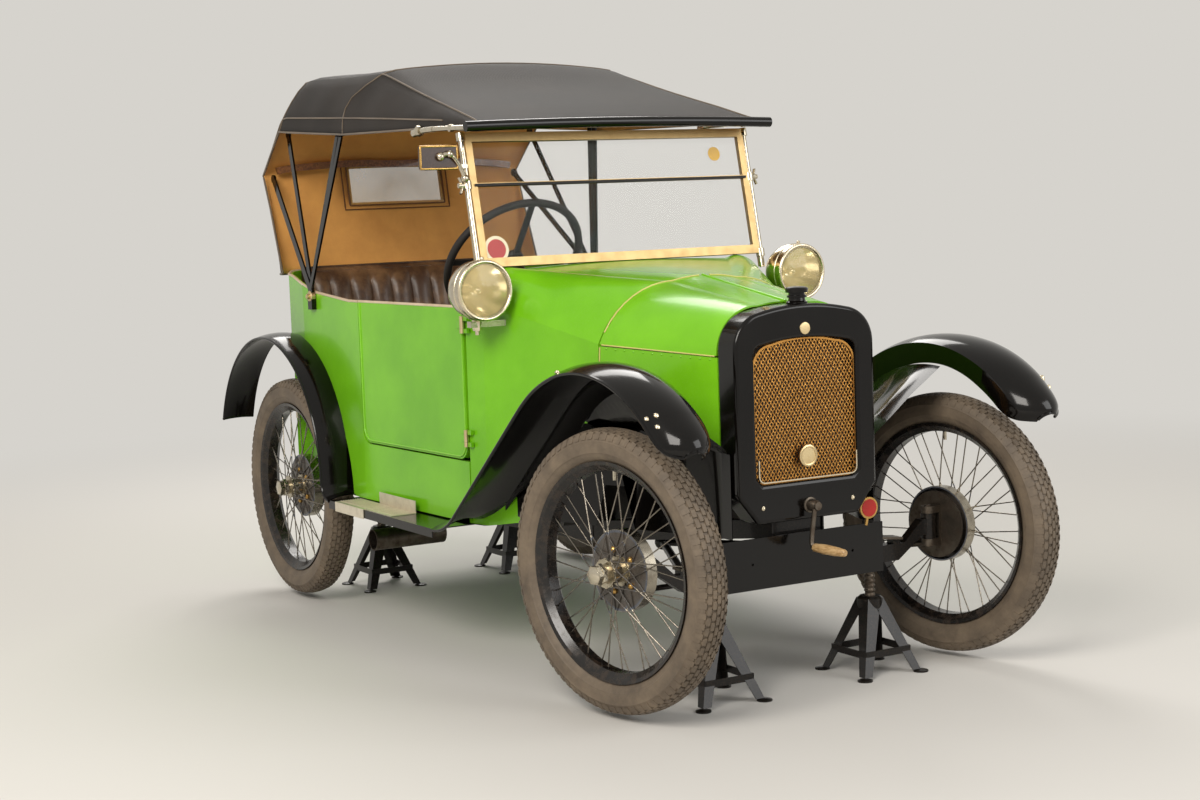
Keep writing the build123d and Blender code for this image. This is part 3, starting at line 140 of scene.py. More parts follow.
def workedMetal(name, shade, stain, roughness, grainSize, metallic=1.0, stainAmount=0.5):
    # plated, forged or polished metal: stain gathers in patches and the grain breaks the shine
    finish, tree = newFinish(name)
    coords = addNode(tree, "ShaderNodeTexCoord").outputs["Object"]
    patches = addNode(tree, "ShaderNodeTexNoise", values={"Scale": 34.0, "Detail": 5.0, "Roughness": 0.62},
                      links={"Vector": coords})
    amount = setRamp(addNode(tree, "ShaderNodeValToRGB", links={"Fac": patches.outputs["Fac"]}),
                     [(0.42, (0, 0, 0, 1)), (0.72, (stainAmount, stainAmount, stainAmount, 1))])
    colour = addNode(tree, "ShaderNodeMix", {"data_type": "RGBA"},
                     {"A": hexLinear(shade), "B": hexLinear(stain)}, {"Factor": amount.outputs["Color"]})
    dull = addNode(tree, "ShaderNodeMapRange", values={"To Min": roughness, "To Max": roughness + 0.3},
                   links={"Value": amount.outputs["Color"]})
    grain = addNode(tree, "ShaderNodeTexNoise", values={"Scale": 1000.0 / grainSize, "Detail": 2.0},
                    links={"Vector": coords})
    bump = addNode(tree, "ShaderNodeBump", values={"Strength": 0.15, "Distance": 0.0003},
                   links={"Height": grain.outputs["Fac"]})
    metal = addNode(tree, "ShaderNodeBsdfPrincipled", values={"Metallic": metallic},
                    links={"Base Color": colour.outputs["Result"], "Roughness": dull.outputs["Result"],
                           "Normal": bump.outputs["Normal"]})
    return closeFinish(finish, tree, metal)


def wovenCloth(name, warp, weft, soil, threadSize, sheen, coordinates="Object"):
    # plain weave cloth: over-and-under threads drawn coarser than life so that they show, soiling in drifts
    finish, tree = newFinish(name)
    texture = addNode(tree, "ShaderNodeTexCoord")
    coords = texture.outputs[coordinates]
    split = addNode(tree, "ShaderNodeSeparateXYZ", links={"Vector": coords})
    waves = []
    for axis in ("X", "Y"):
        turns = addNode(tree, "ShaderNodeMath", {"operation": "MULTIPLY"},
                        {1: 1000.0 * math.pi / threadSize}, {0: split.outputs[axis]})
        waves.append(addNode(tree, "ShaderNodeMath", {"operation": "SINE"}, links={0: turns.outputs[0]}))
    weave = addNode(tree, "ShaderNodeMath", {"operation": "MULTIPLY"},
                    links={0: waves[0].outputs[0], 1: waves[1].outputs[0]})
    pick = addNode(tree, "ShaderNodeMapRange", values={"From Min": -0.6, "From Max": 0.6},
                   links={"Value": weave.outputs[0]})
    threads = addNode(tree, "ShaderNodeMix", {"data_type": "RGBA"},
                      {"A": hexLinear(warp), "B": hexLinear(weft)}, {"Factor": pick.outputs["Result"]})
    drift = addNode(tree, "ShaderNodeTexNoise", values={"Scale": 5.0, "Detail": 6.0, "Roughness": 0.6},
                    links={"Vector": texture.outputs["Object"]})
    soiling = setRamp(addNode(tree, "ShaderNodeValToRGB", links={"Fac": drift.outputs["Fac"]}),
                      [(0.4, (0, 0, 0, 1)), (0.75, (0.7, 0.7, 0.7, 1))])
    colour = addNode(tree, "ShaderNodeMix", {"data_type": "RGBA"}, {"B": hexLinear(soil)},
                     {"Factor": soiling.outputs["Color"], "A": threads.outputs["Result"]})
    bump = addNode(tree, "ShaderNodeBump", values={"Strength": 0.35, "Distance": 0.0006},
                   links={"Height": weave.outputs[0]})
    cloth = addNode(tree, "ShaderNodeBsdfPrincipled",
                    values={"Roughness": 0.78, "Sheen Weight": sheen, "Sheen Roughness": 0.5},
                    links={"Base Color": colour.outputs["Result"], "Normal": bump.outputs["Normal"]})
    return closeFinish(finish, tree, cloth)


def oldHide(name, shade, worn, grainSize):
    # vegetable tanned hide: cellular grain, the crowns rubbed lighter and smoother
    finish, tree = newFinish(name)
    coords = addNode(tree, "ShaderNodeTexCoord").outputs["Object"]
    cells = addNode(tree, "ShaderNodeTexVoronoi", values={"Scale": 1000.0 / grainSize},
                    links={"Vector": coords})
    rubs = addNode(tree, "ShaderNodeTexNoise", values={"Scale": 9.0, "Detail": 6.0, "Roughness": 0.65},
                   links={"Vector": coords})
    rubbed = setRamp(addNode(tree, "ShaderNodeValToRGB", links={"Fac": rubs.outputs["Fac"]}),
                     [(0.42, hexLinear(shade)), (0.78, hexLinear(worn))])
    polish = addNode(tree, "ShaderNodeMapRange", values={"To Min": 0.52, "To Max": 0.30},
                     links={"Value": rubs.outputs["Fac"]})
    bump = addNode(tree, "ShaderNodeBump", values={"Strength": 0.3, "Distance": 0.0005},
                   links={"Height": cells.outputs["Distance"]})
    hide = addNode(tree, "ShaderNodeBsdfPrincipled", values={"IOR": 1.45, "Coat Weight": 0.12},
                   links={"Base Color": rubbed.outputs["Color"], "Roughness": polish.outputs["Result"],
                          "Normal": bump.outputs["Normal"]})
    return closeFinish(finish, tree, hide)


def mouldedRubber(name, shade, chalk, amount):
    # vulcanised rubber gone chalky: dust lies in the mould marks, fine pitting all over
    finish, tree = newFinish(name)
    coords = addNode(tree, "ShaderNodeTexCoord").outputs["Object"]
    bloom = addNode(tree, "ShaderNodeTexNoise", values={"Scale": 14.0, "Detail": 8.0, "Roughness": 0.7},
                    links={"Vector": coords})
    share = setRamp(addNode(tree, "ShaderNodeValToRGB", links={"Fac": bloom.outputs["Fac"]}),
                    [(0.3, (0.1, 0.1, 0.1, 1)), (0.75, (amount, amount, amount, 1))])
    colour = addNode(tree, "ShaderNodeMix", {"data_type": "RGBA"},
                     {"A": hexLinear(shade), "B": hexLinear(chalk)}, {"Factor": share.outputs["Color"]})
    pits = addNode(tree, "ShaderNodeTexNoise", values={"Scale": 700.0, "Detail": 2.0},
                   links={"Vector": coords})
    bump = addNode(tree, "ShaderNodeBump", values={"Strength": 0.25, "Distance": 0.0004},
                   links={"Height": pits.outputs["Fac"]})
    rubber = addNode(tree, "ShaderNodeBsdfPrincipled", values={"Roughness": 0.62, "IOR": 1.5},
                     links={"Base Color": colour.outputs["Result"], "Normal": bump.outputs["Normal"]})
    return closeFinish(finish, tree, rubber)


def clearPane(name, tintShade, alpha, roughness):
    # drawn sheet: looked through, a faint film of dust, and the room mirrored more at a slant
    finish, tree = newFinish(name)
    coords = addNode(tree, "ShaderNodeTexCoord").outputs["Object"]
    smear = addNode(tree, "ShaderNodeTexNoise", values={"Scale": 6.0, "Detail": 5.0},
                    links={"Vector": coords})
    film = addNode(tree, "ShaderNodeMapRange", values={"To Min": alpha * 0.6, "To Max": alpha * 1.5},
                   links={"Value": smear.outputs["Fac"]})
    pane = addNode(tree, "ShaderNodeBsdfPrincipled",
                   values={"Base Color": hexLinear(tintShade), "Roughness": roughness, "IOR": 1.5},
                   links={"Alpha": film.outputs["Result"]})
    slant = addNode(tree, "ShaderNodeFresnel", values={"IOR": 1.2})
    mirror = addNode(tree, "ShaderNodeBsdfGlossy", values={"Color": hexLinear("#9A9E9A"),
                                                           "Roughness": roughness})
    both = addNode(tree, "ShaderNodeMixShader", links={0: slant.outputs[0], 1: pane.outputs[0],
                                                       2: mirror.outputs[0]})
    return closeFinish(finish, tree, both)


def sawnAsh(name, pale, dark, ringSize):
    # varnished ash: long grain along the board with darker rings
    finish, tree = newFinish(name)
    coords = addNode(tree, "ShaderNodeTexCoord").outputs["Object"]
    stretch = addNode(tree, "ShaderNodeMapping", values={"Scale": (1.0, 8.0, 8.0)},
                      links={"Vector": coords})
    rings = addNode(tree, "ShaderNodeTexNoise", values={"Scale": 1000.0 / ringSize / 8.0, "Detail": 6.0,
                                                        "Distortion": 0.8},
                    links={"Vector": stretch.outputs["Vector"]})
    grain = setRamp(addNode(tree, "ShaderNodeValToRGB", links={"Fac": rings.outputs["Fac"]}),
                    [(0.38, hexLinear(dark)), (0.62, hexLinear(pale))])
    bump = addNode(tree, "ShaderNodeBump", values={"Strength": 0.2, "Distance": 0.0004},
                   links={"Height": rings.outputs["Fac"]})
    wood = addNode(tree, "ShaderNodeBsdfPrincipled", values={"Roughness": 0.42, "Coat Weight": 0.25},
                   links={"Base Color": grain.outputs["Color"], "Normal": bump.outputs["Normal"]})
    return closeFinish(finish, tree, wood)


def wheelFinish(name, centre, axis):
    # one wheel: nickel hub, dark drum with a grey edge and a bright lip, steel spokes, black enamelled rim
    finish, tree = newFinish(name)
    coords = addNode(tree, "ShaderNodeTexCoord").outputs["Object"]
    away = addNode(tree, "ShaderNodeVectorMath", {"operation": "SUBTRACT"}, {1: tuple(centre)}, {0: coords})
    outward = addNode(tree, "ShaderNodeVectorMath", {"operation": "CROSS_PRODUCT"}, {1: tuple(axis)},
                      {0: away.outputs["Vector"]})
    radius = addNode(tree, "ShaderNodeVectorMath", {"operation": "LENGTH"},
                     links={0: outward.outputs["Vector"]})
    # each stop below is a share of 300 mm out from the axle
    share = addNode(tree, "ShaderNodeMath", {"operation": "DIVIDE"}, {1: 0.3}, {0: radius.outputs["Value"]})
    stops = [(0.0, "#B9B09C"), (0.118, "#4B4640"), (0.30, "#5C6068"), (0.318, "#A69F90"),
             (0.33, "#8C857A"), (0.775, "#14110F")]
    bands = addNode(tree, "ShaderNodeValToRGB", links={"Fac": share.outputs[0]})
    bands.color_ramp.interpolation = "CONSTANT"
    setRamp(bands, [(position, hexLinear(shade)) for position, shade in stops])
    metalStops = [(0.0, 1.0), (0.118, 0.0), (0.30, 0.3), (0.318, 1.0), (0.33, 1.0), (0.775, 0.0)]
    metalness = addNode(tree, "ShaderNodeValToRGB", links={"Fac": share.outputs[0]})
    metalness.color_ramp.interpolation = "CONSTANT"
    setRamp(metalness, [(position, (v, v, v, 1)) for position, v in metalStops])
    grime = addNode(tree, "ShaderNodeTexNoise", values={"Scale": 45.0, "Detail": 6.0, "Roughness": 0.65},
                    links={"Vector": coords})
    grimeShare = setRamp(addNode(tree, "ShaderNodeValToRGB", links={"Fac": grime.outputs["Fac"]}),
                     [(0.45, (0, 0, 0, 1)), (0.8, (0.6, 0.6, 0.6, 1))])
    colour = addNode(tree, "ShaderNodeMix", {"data_type": "RGBA"}, {"B": hexLinear("#4A3A2C")},
                     {"Factor": grimeShare.outputs["Color"], "A": bands.outputs["Color"]})
    dull = addNode(tree, "ShaderNodeMapRange", values={"To Min": 0.22, "To Max": 0.6},
                   links={"Value": grimeShare.outputs["Color"]})
    shader = addNode(tree, "ShaderNodeBsdfPrincipled",
                     links={"Base Color": colour.outputs["Result"], "Metallic": metalness.outputs["Color"],
                            "Roughness": dull.outputs["Result"]})
    return closeFinish(finish, tree, shader)


finishes = {
    "bodyGreen": coachEnamel("coachEnamelGreen", "#7BC61B", "#69B012", "#9DB268", 0.17, 0.08),
    "wingBlack": coachEnamel("stoveEnamelBlack", "#080605", "#050403", "#33271D", 0.11, 0.08, 0.22),
    "frameBlack": coachEnamel("chassisEnamel", "#0F0D0B", "#090807", "#4A3A2C", 0.30, 0.35, 0.22),
    "nickel": workedMetal("nickelPlate", "#CFC6B2", "#7E705A", 0.16, 1.2, stainAmount=0.35),
    "brass": workedMetal("lacqueredBrass", "#C9A260", "#7C5628", 0.26, 1.5, stainAmount=0.55),
    "meshBrass": workedMetal("tarnishedMesh", "#B98746", "#7A5226", 0.36, 1.5, stainAmount=0.35),
    "screenBrass": workedMetal("dulledScreenBrass", "#C4A877", "#A08050", 0.44, 0.9, stainAmount=0.25),
    "paleBrass": workedMetal("brushedPaleBrass", "#DCC79A", "#A98A58", 0.34, 0.9, stainAmount=0.4),
    "steel": workedMetal("forgedSteel", "#6A6258", "#3B2A1D", 0.42, 2.0, stainAmount=0.75),
    "castIron": workedMetal("castIron", "#3B3531", "#2A2018", 0.62, 2.6, metallic=0.6, stainAmount=0.6),
    "aluminium": workedMetal("treadAluminium", "#E6DDC8", "#A3957C", 0.42, 0.8, metallic=0.75,
                             stainAmount=0.3),
    "hoodCloth": wovenCloth("rubberisedHoodDuck", "#15100C", "#1F1812", "#2A2119", 2.4, 0.04, "UV"),
    "hoodLining": wovenCloth("hoodLiningCotton", "#E9AC5C", "#D99B4B", "#B87D3C", 2.0, 0.1, "UV"),
    "hoodPiping": wovenCloth("hoodPipingTape", "#7B6C5A", "#6A5C4B", "#4B4035", 1.2, 0.2),
    "liningTape": wovenCloth("stitchedTape", "#7A5229", "#664320", "#4A3018", 1.0, 0.1),
    "hide": oldHide("pleatedHide", "#4A3425", "#967350", 2.2),
    "hideBack": oldHide("plainHide", "#3A291C", "#7A5A3C", 2.6),
    "paleNickel": workedMetal("yellowedNickel", "#E2D6BC", "#A58B5E", 0.24, 1.2, stainAmount=0.35),
    "silvering": workedMetal("lampSilvering", "#F0E6CC", "#C7AC74", 0.12, 1.0, stainAmount=0.3),
    "lensGlass": clearPane("domedLens", "#FBE6A6", 0.24, 0.10),
    "creamEnamel": coachEnamel("creamDisc", "#E9DFC4", "#E0D3B2", "#B9A27A", 0.3, 0.15),
    "redEnamel": coachEnamel("redDisc", "#B8231B", "#A21C16", "#8A4A38", 0.3, 0.15),
    "yellowEnamel": coachEnamel("yellowDisc", "#D8A928", "#C99A1E", "#9A7A38", 0.3, 0.15),
    "creamPiping": oldHide("creamPiping", "#CDB79A", "#E0CDB2", 2.4),
    # the door bead's enamel is a lighter green than the body's, a painted highlight along the bead
    "beadGreenPaintedHighlight": coachEnamel("beadGreenPaintedHighlight", "#86CC34", "#78BC28", "#B4C48A", 0.2, 0.15),
    "creamLine": coachEnamel("linedCream", "#D6CC7A", "#C6BC66", "#A89A6A", 0.3, 0.15),
    "paleAsh": sawnAsh("paleHandleAsh", "#C9A877", "#A37F50", 4.0),
    "brownJapan": coachEnamel("brownJapan", "#3A2417", "#2C1A10", "#5A4736", 0.26, 0.3),
    "tread": mouldedRubber("tyreRubber", "#453C33", "#94826B", 0.58),
    "glass": clearPane("sheetGlass", "#B9C4BA", 0.006, 0.02),
    "celluloid": clearPane("agedCelluloid", "#B99A5C", 0.60, 0.25),
    "ash": sawnAsh("varnishedAsh", "#8A5A32", "#5B371C", 6.0),
    "ebonite": mouldedRubber("turnedEbonite", "#0F0D0C", "#3A2E25", 0.18),
}
print("car: finishes mixed")

nodeFinish = {
    "axle_stands": "frameBlack", "body_tub": "bodyGreen", "bonnet_left": "bodyGreen",
    "bonnet_right": "bodyGreen", "chassis_frame": "frameBlack", "dash_and_toe_boards": "frameBlack",
    "door_left": "bodyGreen", "door_right": "bodyGreen", "engine_block": "castIron", "exhaust": "steel",
    "front_axle": "frameBlack", "headlamp_glasses": "glass", "headlamps": "nickel",
    "hood_cover": "hoodCloth", "hood_irons": "frameBlack", "knuckle_left": "steel",
    "knuckle_right": "steel", "levers": "frameBlack", "mirror": "nickel", "number_plate": "wingBlack",
    "radiator_cap": "nickel", "radiator_core": "castIron", "radiator_grille": "brass",
    "radiator_shell": "wingBlack", "rear_axle": "frameBlack", "running_boards": "wingBlack",
    "scuttle": "bodyGreen", "seats": "hide", "springs": "steel", "starting_handle": "steel",
    "steering_column": "frameBlack", "steering_wheel": "ebonite", "step_plates": "aluminium",
    "track_rod": "frameBlack", "windscreen_frame": "screenBrass", "windscreen_glass": "glass",
    "wings": "wingBlack",
}
steer = math.radians(layout["steerAngle"])
wheelPlaces = {}
for corner, x, side, turned in (("front_right", layout["frontX"], -1, True),
                                ("front_left", layout["frontX"], 1, True),
                                ("rear_right", layout["rearX"], -1, False),
                                ("rear_left", layout["rearX"], 1, False)):
    if turned:
        axis = np.array([-side * math.sin(steer), side * math.cos(steer), 0.0])
        centre = np.array([x, side * layout["kingpinY"], layout["hubZ"]]) + layout["kingpinOffset"] * axis
    else:
        axis = np.array([0.0, float(side), 0.0])
        centre = np.array([x, side * layout["hubY"], layout["hubZ"]])
    wheelPlaces[corner] = {"centre": centre, "axis": axis, "body": corner + "_wheel"}
    finishes["wheel_" + corner] = wheelFinish("wireWheel_" + corner, placed(centre), axis)
    nodeFinish["wheel_" + corner] = "wheel_" + corner
    nodeFinish["tyre_" + corner] = "tread"
for nodeName, finishName in nodeFinish.items():
    nodes[nodeName].data.materials.clear()
    nodes[nodeName].data.materials.append(finishes[finishName])
print("car: CAD nodes finished")

# shapes


def gridQuads(rows, columns, closeRows=False, closeColumns=False):
    # corner numbers of the quads between neighbouring rows and columns of a grid of points
    r = np.arange(rows if closeRows else rows - 1)
    c = np.arange(columns if closeColumns else columns - 1)
    rowA, colA = np.meshgrid(r, c, indexing="ij")
    rowB, colB = (rowA + 1) % rows, (colA + 1) % columns
    quads = np.stack([rowA * columns + colA, rowB * columns + colA,
                      rowB * columns + colB, rowA * columns + colB], -1)
    return quads.reshape(-1, 4)


def gridShell(points, closeRows=False, closeColumns=False):
    # a grid of points and its quads, joined round where asked
    rows, columns = points.shape[:2]
    return points.reshape(-1, 3), gridQuads(rows, columns, closeRows, closeColumns)


def ringShell(rings):
    # rings of road stations in mm joined one to the next; the first is closed to a point, the last left open
    start = np.repeat(rings[:1].mean(1, keepdims=True), rings.shape[1], 1)
    return gridShell(placed(np.concatenate([start, rings])), closeColumns=True)


def joinShells(shells):
    # several (points, quads) shells as one
    starts = np.cumsum([0] + [len(points) for points, quads in shells[:-1]])
    return (np.concatenate([points for points, quads in shells]),
            np.concatenate([quads + start for start, (points, quads) in zip(starts, shells)]))


def carryAlong(path, profile, up, closed=False):
    # the profile's x runs along up x tangent and its y along what is square to both, at every path point
    path = np.asarray(path, float)
    if closed:
        tangent = np.roll(path, -1, 0) - np.roll(path, 1, 0)
    else:
        tangent = np.gradient(path, axis=0)
    tangent /= np.linalg.norm(tangent, axis=1, keepdims=True)
    across = np.cross(np.broadcast_to(np.asarray(up, float), tangent.shape), tangent)
    across /= np.linalg.norm(across, axis=1, keepdims=True)
    over = np.cross(tangent, across)
    profile = np.asarray(profile, float)
    points = (path[:, None, :] + profile[None, :, 0, None] * across[:, None, :]
              + profile[None, :, 1, None] * over[:, None, :])
    if not closed:
        points = np.concatenate([np.repeat(points[:1].mean(1, keepdims=True), points.shape[1], 1), points,
                                 np.repeat(points[-1:].mean(1, keepdims=True), points.shape[1], 1)])
    return gridShell(points, closeRows=closed, closeColumns=True)


def roundProfile(radius, sides=10, squash=1.0):
    # a circle, or an ellipse where it is squashed
    turn = np.linspace(0, 2 * np.pi, sides, endpoint=False)
    return np.stack([radius * np.cos(turn), radius * squash * np.sin(turn)], 1)


def boxProfile(width, height):
    # a flat bar's four corners
    return np.array([[-width, -height], [width, -height], [width, height], [-width, height]]) / 2.0


def roundBar(start, end, radius, sides=10, up=(0.13, 0.29, 0.95)):
    # a straight rod between two points in metres
    return carryAlong(np.linspace(start, end, 2), roundProfile(radius, sides), up)


def revolved(profile, centre, axis, steps):
    # profile columns are (distance along the axis, radius); it turns once about the axis
    axis = np.asarray(axis, float) / np.linalg.norm(axis)
    reference = np.array([0.0, 0.0, 1.0]) if abs(axis[2]) < 0.9 else np.array([1.0, 0.0, 0.0])
    upright = reference - axis * (reference @ axis)
    upright /= np.linalg.norm(upright)
    sideways = np.cross(axis, upright)
    turn = np.linspace(0, 2 * np.pi, steps, endpoint=False)
    spoke = np.cos(turn)[:, None] * upright + np.sin(turn)[:, None] * sideways
    profile = np.asarray(profile, float)
    points = (np.asarray(centre, float) + profile[None, :, 0, None] * axis
              + profile[None, :, 1, None] * spoke[:, None, :])
    return gridShell(points, closeRows=True)


def turnedPiece(profile, spot, axis, steps):
    # the same from a profile in mm and a road station
    return revolved(np.asarray(profile, float) / 1000, placed(spot), axis, steps)


def turnedDisc(low, high, radius, centre, axis, steps):
    # a short cylinder from low to high along its axis
    return revolved([[low, 0.0], [low, radius], [high, radius], [high, 0.0]], centre, axis, steps)


boxFaces = np.array([[3, 2, 1, 0], [4, 5, 6, 7], [0, 1, 5, 4], [1, 2, 6, 5], [2, 3, 7, 6], [3, 0, 4, 7]])


def boxShell(low, high):
    # a square box between two road stations
    x, y, z = zip(low, high)
    points = [[x[i], y[j], z[k]] for k in (0, 1) for i, j in ((0, 0), (1, 0), (1, 1), (0, 1))]
    return placed(points), boxFaces


def closedRun(corners, count):
    # straight from corner to corner and back to the first, count points to a side
    corners = np.asarray(corners, float)
    sides = zip(corners, np.roll(corners, -1, 0))
    return np.concatenate([np.linspace(a, b, count + 1)[:-1] for a, b in sides])


def unit(vector):
    vector = np.asarray(vector, float)
    return vector / np.linalg.norm(vector)


def scattered(shell, origins, xAxes, yAxes, zAxes):
    # a small shell set down at every origin, turned to that origin's three axes
    points, quads = shell
    count, size = len(origins), len(points)
    placedPoints = (origins[:, None, :] + points[None, :, 0, None] * xAxes[:, None, :]
                    + points[None, :, 1, None] * yAxes[:, None, :]
                    + points[None, :, 2, None] * zAxes[:, None, :])
    allQuads = quads[None] + (np.arange(count) * size)[:, None, None]
    return placedPoints.reshape(-1, 3), allQuads.reshape(-1, 4)


def headShell(radius, height, sides=6, dome=0.0):
    # a bolt or nut head standing on z = 0: straight flats, then an optional dome
    turn = np.linspace(0, 2 * np.pi, sides, endpoint=False)
    ring = np.stack([np.cos(turn), np.sin(turn), np.zeros(sides)], 1)
    levels = [(0.0, 0.0), (radius, 0.0), (radius, height * 0.85), (radius * 0.88, height)]
    if dome:
        levels += [(radius * 0.62, height + dome * 0.65), (radius * 0.3, height + dome * 0.93)]
        levels += [(0.0, height + dome)]
    else:
        levels += [(0.0, height)]
    points = np.stack([ring * r + np.array([0, 0, z]) for r, z in levels])
    return gridShell(points, closeColumns=True)


def smoothed(points, passes, share):
    # each inner point moves a share of the way to the mean of its four neighbours
    for _ in range(passes):
        mean = points.copy()
        mean[1:-1, 1:-1] = (points[:-2, 1:-1] + points[2:, 1:-1] + points[1:-1, :-2] + points[1:-1, 2:]) / 4
        points = points * (1 - share) + mean * share
    return points


def fillMesh(name, shell, uv=None, sharp=38.0, merge=True):
    # points and quads into a mesh; merging closes poles and seams and turns the faces outwards
    points, quads = shell
    mesh = bpy.data.meshes.new(name)
    mesh.vertices.add(len(points))
    mesh.vertices.foreach_set("co", np.ascontiguousarray(points, np.float32).ravel())
    mesh.loops.add(4 * len(quads))
    mesh.loops.foreach_set("vertex_index", np.ascontiguousarray(quads, np.int32).ravel())
    mesh.polygons.add(len(quads))
    mesh.polygons.foreach_set("loop_start", np.arange(len(quads), dtype=np.int32) * 4)
    mesh.update(calc_edges=True)
    if uv is not None:
        layer = mesh.uv_layers.new(name="UVMap")
        layer.data.foreach_set("uv", np.ascontiguousarray(uv[quads.ravel()], np.float32).ravel())
    if merge:
        work = bmesh.new()
        work.from_mesh(mesh)
        bmesh.ops.remove_doubles(work, verts=work.verts, dist=2e-6)
        bmesh.ops.dissolve_degenerate(work, edges=work.edges, dist=1e-6)
        bmesh.ops.recalc_face_normals(work, faces=work.faces)
        work.to_mesh(mesh)
        work.free()
    mesh.shade_smooth()
    mesh.set_sharp_from_angle(angle=math.radians(sharp))
    return mesh


def showPiece(name, shell, finish, body, replaces=(), uv=None, sharp=38.0, merge=True):
    # a finished piece: its mesh, its finish, the body it rides on and the nodes it stands for
    piece = bpy.data.objects.new(name, fillMesh(name, shell, uv, sharp, merge))
    bpy.context.scene.collection.objects.link(piece)
    piece.data.materials.append(finishes[finish])
    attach(piece, body)
    if replaces:
        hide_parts(*replaces)
    return piece


# tyres

tyreLook = {
    "radius": 336.6, "treadHalf": 31.0, "crown": 6.5, "grooveDepth": 4.2, "pitches": 84, "blockShare": 0.80,
    "rows": (-25.0, -12.5, 0.0, 12.5, 25.0), "rowWidth": 10.6, "draft": 0.10,
    "lugStart": 32.0, "lugReach": 8.6, "lugShare": 0.60, "shoulderHigh": 328.6, "shoulderLow": 313.0,
}
# from the bead out over the bulging wall, with two moulded lines: distance from the middle, then radius
tyreWall = np.array([
    (20.0, 252.5), (26.0, 262.0), (32.5, 268.0), (37.5, 276.0), (38.6, 279.0), (40.6, 281.0), (42.2, 289.0),
    (43.0, 298.0), (42.0, 306.0), (42.6, 308.0), (41.0, 311.0), (38.0, 319.0), (34.0, 325.5),
])


def treadRadius(w):
    # the crown falls away from the middle as a parabola
    return tyreLook["radius"] - tyreLook["crown"] * (np.asarray(w, float) / tyreLook["treadHalf"]) ** 2


def tyreShell(centre, axis):
    # carcass: the wall, the groove floor across the tread, and the wall again, turned once round the axle
    across = np.linspace(tyreLook["treadHalf"], -tyreLook["treadHalf"], 9)
    tread = np.stack([across, treadRadius(across) - tyreLook["grooveDepth"]], 1)
    farWall = tyreWall[::-1] * np.array([-1.0, 1.0])
    return turnedPiece(np.concatenate([tyreWall, tread, farWall, tyreWall[:1]]), centre, axis, 120)


def treadBlocks(centre, axis):
    # rows of blocks round the crown, every other row set half a pitch on, with lugs down both shoulders
    look = tyreLook
    count = look["pitches"]
    upright = np.array([0.0, 0.0, 1.0])
    sideways = np.cross(axis, upright)
    corner = np.array([[w, t, h] for h in (0, 1) for w, t in ((-1, -1), (1, -1), (1, 1), (-1, 1))], float)
    raised = corner[:, 2]
    draft = 1.0 - look["draft"] * raised
    rounds = []
    for n, row in enumerate(look["rows"]):
        w = row + corner[:, 0] * look["rowWidth"] / 2 * draft
        radius = treadRadius(w) - (1 - raised) * (look["grooveDepth"] + 1.0)
        rounds.append((w, radius, 0.5 * (n % 2), look["blockShare"] * draft))
    outer = np.where(corner[:, 0] > 0, 1.0, 0.0)
    for side in (-1, 1):
        w = side * (look["lugStart"] + outer * look["lugReach"] + raised * np.where(outer > 0, 1.6, 0.6))
        radius = (look["shoulderHigh"] - outer * (look["shoulderHigh"] - look["shoulderLow"])
                  + raised * np.where(outer > 0, 0.4, 1.4))
        rounds.append((w, radius, 0.5, look["lugShare"]))
    quads = (boxFaces + (np.arange(count) * 8)[:, None, None]).reshape(-1, 4)
    shells = []
    for w, radius, shift, share in rounds:
        turn = (np.arange(count)[:, None] + shift + corner[:, 1] * share / 2) * 2 * np.pi / count
        points = (w[:, None] * axis + (np.cos(turn) * radius)[..., None] * upright
                  + (np.sin(turn) * radius)[..., None] * sideways)
        shells.append((points.reshape(-1, 3), quads))
    points, quads = joinShells(shells)
    return points / 1000.0 + placed(centre), quads


for corner, wheel in wheelPlaces.items():
    spot = (wheel["centre"], wheel["axis"])
    showPiece("tyre_with_tread_" + corner, joinShells([tyreShell(*spot), treadBlocks(*spot)]), "tread",
              wheel["body"], ["tyre_" + corner], sharp=32.0)
print("car: tyres and tread done")

# hubs, brake drum bolts and valves

hubLook = {
    "boltCircle": 52.0, "boltCount": 5, "boltHead": 8.0, "boltFace": -6.0, "nut": 26.0, "nutFace": 50.0,
    "cap": ((61.0, 0.0), (61.0, 20.5), (72.0, 20.5), (75.0, 17.5), (76.5, 11.0), (77.0, 0.0)),
    "valve": (250.0, 214.0), "valveRadius": 4.2,
}


def wheelSeen(wheel, radius, angles, along):
    # points on a circle of the wheel, with the axes to set a bolt head on them
    axis = wheel["axis"]
    upright = np.array([0.0, 0.0, 1.0])
    sideways = np.cross(axis, upright)
    out = np.cos(angles)[:, None] * upright + np.sin(angles)[:, None] * sideways
    origins = placed(wheel["centre"] + radius * out + along * axis)
    return origins, out, np.cross(axis, out), np.broadcast_to(axis, out.shape)


for corner, wheel in wheelPlaces.items():
    angles = np.arange(hubLook["boltCount"]) * 2 * np.pi / hubLook["boltCount"] + 0.3
    heads = scattered(headShell(hubLook["boltHead"] / 1000, 0.006, 6, 0.004),
                      *wheelSeen(wheel, hubLook["boltCircle"], angles, hubLook["boltFace"]))
    showPiece("drum_bolts_" + corner, heads, "brass", wheel["body"])
    cap = turnedPiece(hubLook["cap"], wheel["centre"], wheel["axis"], 32)
    nut = scattered(headShell(hubLook["nut"] / 1000, 0.012),
                    *wheelSeen(wheel, 0.0, np.zeros(1), hubLook["nutFace"]))
    outer, inner = (placed(wheel["centre"] + np.array([0.0, 0.0, height])) for height in hubLook["valve"])
    stem = roundBar(outer, inner, hubLook["valveRadius"] / 1000, 10, (0.9, 0.1, 0.1))
    showPiece("hub_cap_" + corner, joinShells([cap, nut, stem]), "nickel", wheel["body"])
print("car: hubs done")

# radiator mesh

meshLook = {"pitch": 9.0, "wire": 0.9, "weave": 0.9, "lean": 57.0, "shoulder": 55.0, "rise": 12.0}


